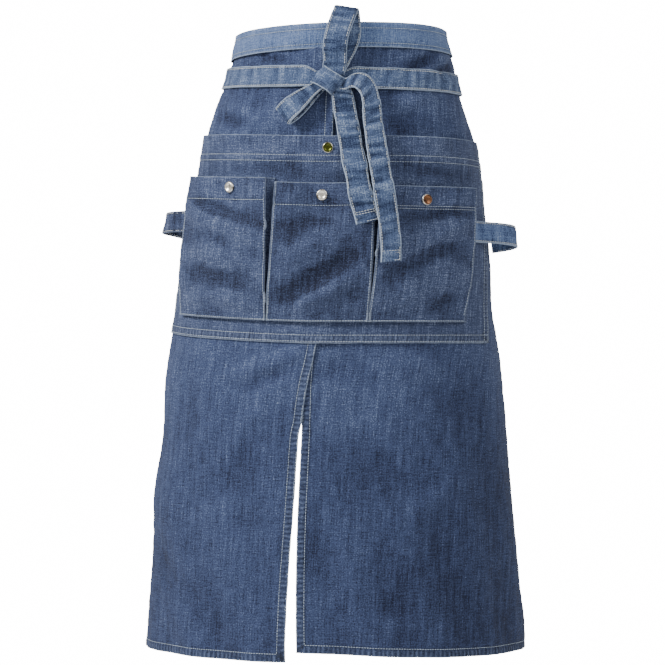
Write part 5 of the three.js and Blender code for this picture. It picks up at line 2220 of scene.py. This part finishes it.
@dataclass
class Apron:
    """The whole apron, built piece by piece."""

    form: HungForm = field(default_factory=HungForm)

    def build(self) -> None:
        """Make and dress every piece."""
        drape = Drape(self.form)
        wardrobe = Wardrobe()
        thread = Thread("stitching_skirt")
        for side in (-1, 1):
            skirt = Skirt(drape, side)
            piece = skirt.build(wardrobe)
            skirt.sew(thread)
            self._own(piece, "denim")
            LOG.info("%s made", piece.name)
        band = Waistband(drape)
        piece = band.build(wardrobe)
        band.sew(thread)
        self._own(piece, "denim_worn")
        thread.build(wardrobe.thread_blue)
        LOG.info("waistband made")
        panel = PocketPanel(drape)
        thread = Thread("stitching_panel")
        piece = panel.build(wardrobe)
        panel.sew(thread)
        self._own(piece, "denim")
        LOG.info("pocket panel made")
        pockets = self._pockets(panel)
        for pocket in pockets:
            piece = pocket.build(wardrobe)
            pocket.sew(thread)
            self._own(piece, "denim")
            LOG.info("%s made", piece.name)
        thread.build(wardrobe.thread_blue)
        thread = Thread("stitching_straps")
        for piece in Ties(drape, band).build(wardrobe, thread):
            self._own(piece, "denim_worn")
        for name, piece in Bow(drape).build(wardrobe, thread).items():
            self._own(piece, "denim_worn")
            self._declare_bow(name, piece)
        for side in (-1, 1):
            piece = ToolLoop(drape, side).build(wardrobe, thread)
            self._own(piece, "denim")
        thread.build(wardrobe.thread)
        LOG.info("ties, bow and tool loops made")
        self._snaps(panel, pockets, wardrobe)

    @staticmethod
    def _own(piece: bpy.types.Object, slot: str) -> None:
        """Let a piece ride on the apron and stand for its solids.

        Args:
            piece: the cloth.
            slot: not used.
        """
        node = piece.name.removesuffix("_cloth")
        solids = [node, node.replace("skirt", "flap")] if node.startswith("skirt") else [node]
        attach(piece, "root")
        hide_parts(*solids)

    @staticmethod
    def _declare_bow(name: str, piece: bpy.types.Object) -> None:
        """Does nothing.

        Args:
            name: not used.
            piece: not used.
        """

    @staticmethod
    def _pockets(panel: PocketPanel) -> list[BellowsPocket]:
        """The three pockets, each with the creases of its own use.

        Args:
            panel: carries them.

        Returns:
            Left, middle and right.
        """
        left = BellowsPocket(
            panel,
            "pocket_left",
            middle=-123.96,
            half=60.003,
            rise=4.8,
            snap=0.2,
            snap_drop=12.04,
            front_top=(-175.4, -65.4),
            front_foot=(-186.4, -57.6),
            base=(-182.0, -62.0),
            folds=(
                Fold(((-176, -188), (-140, -201), (-110, -210), (-66, -220)), -2.0, 7),
                Fold(((-170, -206), (-130, -222), (-80, -232)), 1.6, 8),
                Fold(((-164, -274), (-123, -284), (-78, -285)), -1.8, 10),
                Fold(((-150, -250), (-110, -262), (-70, -262)), 1.4, 10),
                Fold(((-170, -310), (-120, -306), (-75, -314)), 1.2, 9),
            ),
            seed=50,
        )
        middle = BellowsPocket(
            panel,
            "pocket_middle",
            middle=-3.0,
            half=54.988,
            rise=0.0,
            snap=-0.02,
            snap_drop=14.0,
            front_top=(-55.6, 51.6),
            front_foot=(-57.2, 59.2),
            base=(-54.0, 54.5),
            folds=(
                Fold(((-52, -306), (-26, -296), (11, -270), (43, -241)), -3.2, 12),
                Fold(((-40, -260), (-19, -245), (8, -236)), 2.2, 9),
                Fold(((-30, -316), (10, -296), (44, -272)), 1.8, 8),
                Fold(((-50, -222), (-20, -214), (20, -216)), -1.4, 7),
            ),
            seed=55,
            # this pocket's front a little darker than the other two
            tone_shift=-0.35,
        )
        right = BellowsPocket(
            panel,
            "pocket_right",
            middle=117.0,
            half=59.0,
            rise=-3.25,
            snap=-0.1,
            snap_drop=15.4,
            front_top=(57.6, 172.0),
            front_foot=(58.8, 175.0),
            base=(64.5, 179.0),
            folds=(
                Fold(((83, -209), (120, -206), (166, -204)), -1.8, 6),
                Fold(((85, -249), (125, -230), (165, -213)), 2.0, 9),
                Fold(((69, -290), (91, -265), (144, -239)), -2.4, 9),
                Fold(((120, -313), (164, -298)), -1.6, 8),
                Fold(((80, -310), (120, -290), (160, -272)), 1.5, 9),
            ),
            seed=60,
            hem_lines=(23.0, 26.0),
        )
        return [left, middle, right]

    @staticmethod
    def _snaps(panel: PocketPanel, pockets: Sequence[BellowsPocket], wardrobe: Wardrobe) -> None:
        """Set a snap on the panel and on each pocket.

        Args:
            panel: carries the large snap.
            pockets: carry one each.
            wardrobe: the finishes.
        """

        def put(
            node: str, surface: Surface, spot: tuple[float, float], metal: bpy.types.Material
        ) -> None:
            a, b = (np.array([value]) for value in spot)
            low = surface(a, b, np.array([0.2]))[0]
            cap = Snap(f"{node}_cap", low, surface(a, b, np.array([1.2]))[0] - low)
            piece = cap.build(metal, wardrobe.nickel)
            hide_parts(node)

        put("snap_panel", panel.surface, (0, panel.drape.panel_top - 14), wardrobe.brass)
        for pocket, metal in zip(pockets, (wardrobe.nickel, wardrobe.nickel, wardrobe.copper)):
            side = pocket.name.split("_")[1]
            put(f"snap_{side}", pocket.surface, (pocket.snap, pocket.snap_drop / pocket.tall), metal)
            for item in bpy.data.objects[f"stud_{side}"].material_slots:
                item.material = wardrobe.nickel


def main() -> None:
    """Build the scene."""
    logging.basicConfig(level=logging.INFO, format="%(message)s")
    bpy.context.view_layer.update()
    Studio().build()
    LOG.info("studio made")
    Apron().build()


if __name__ == "__main__":
    main()
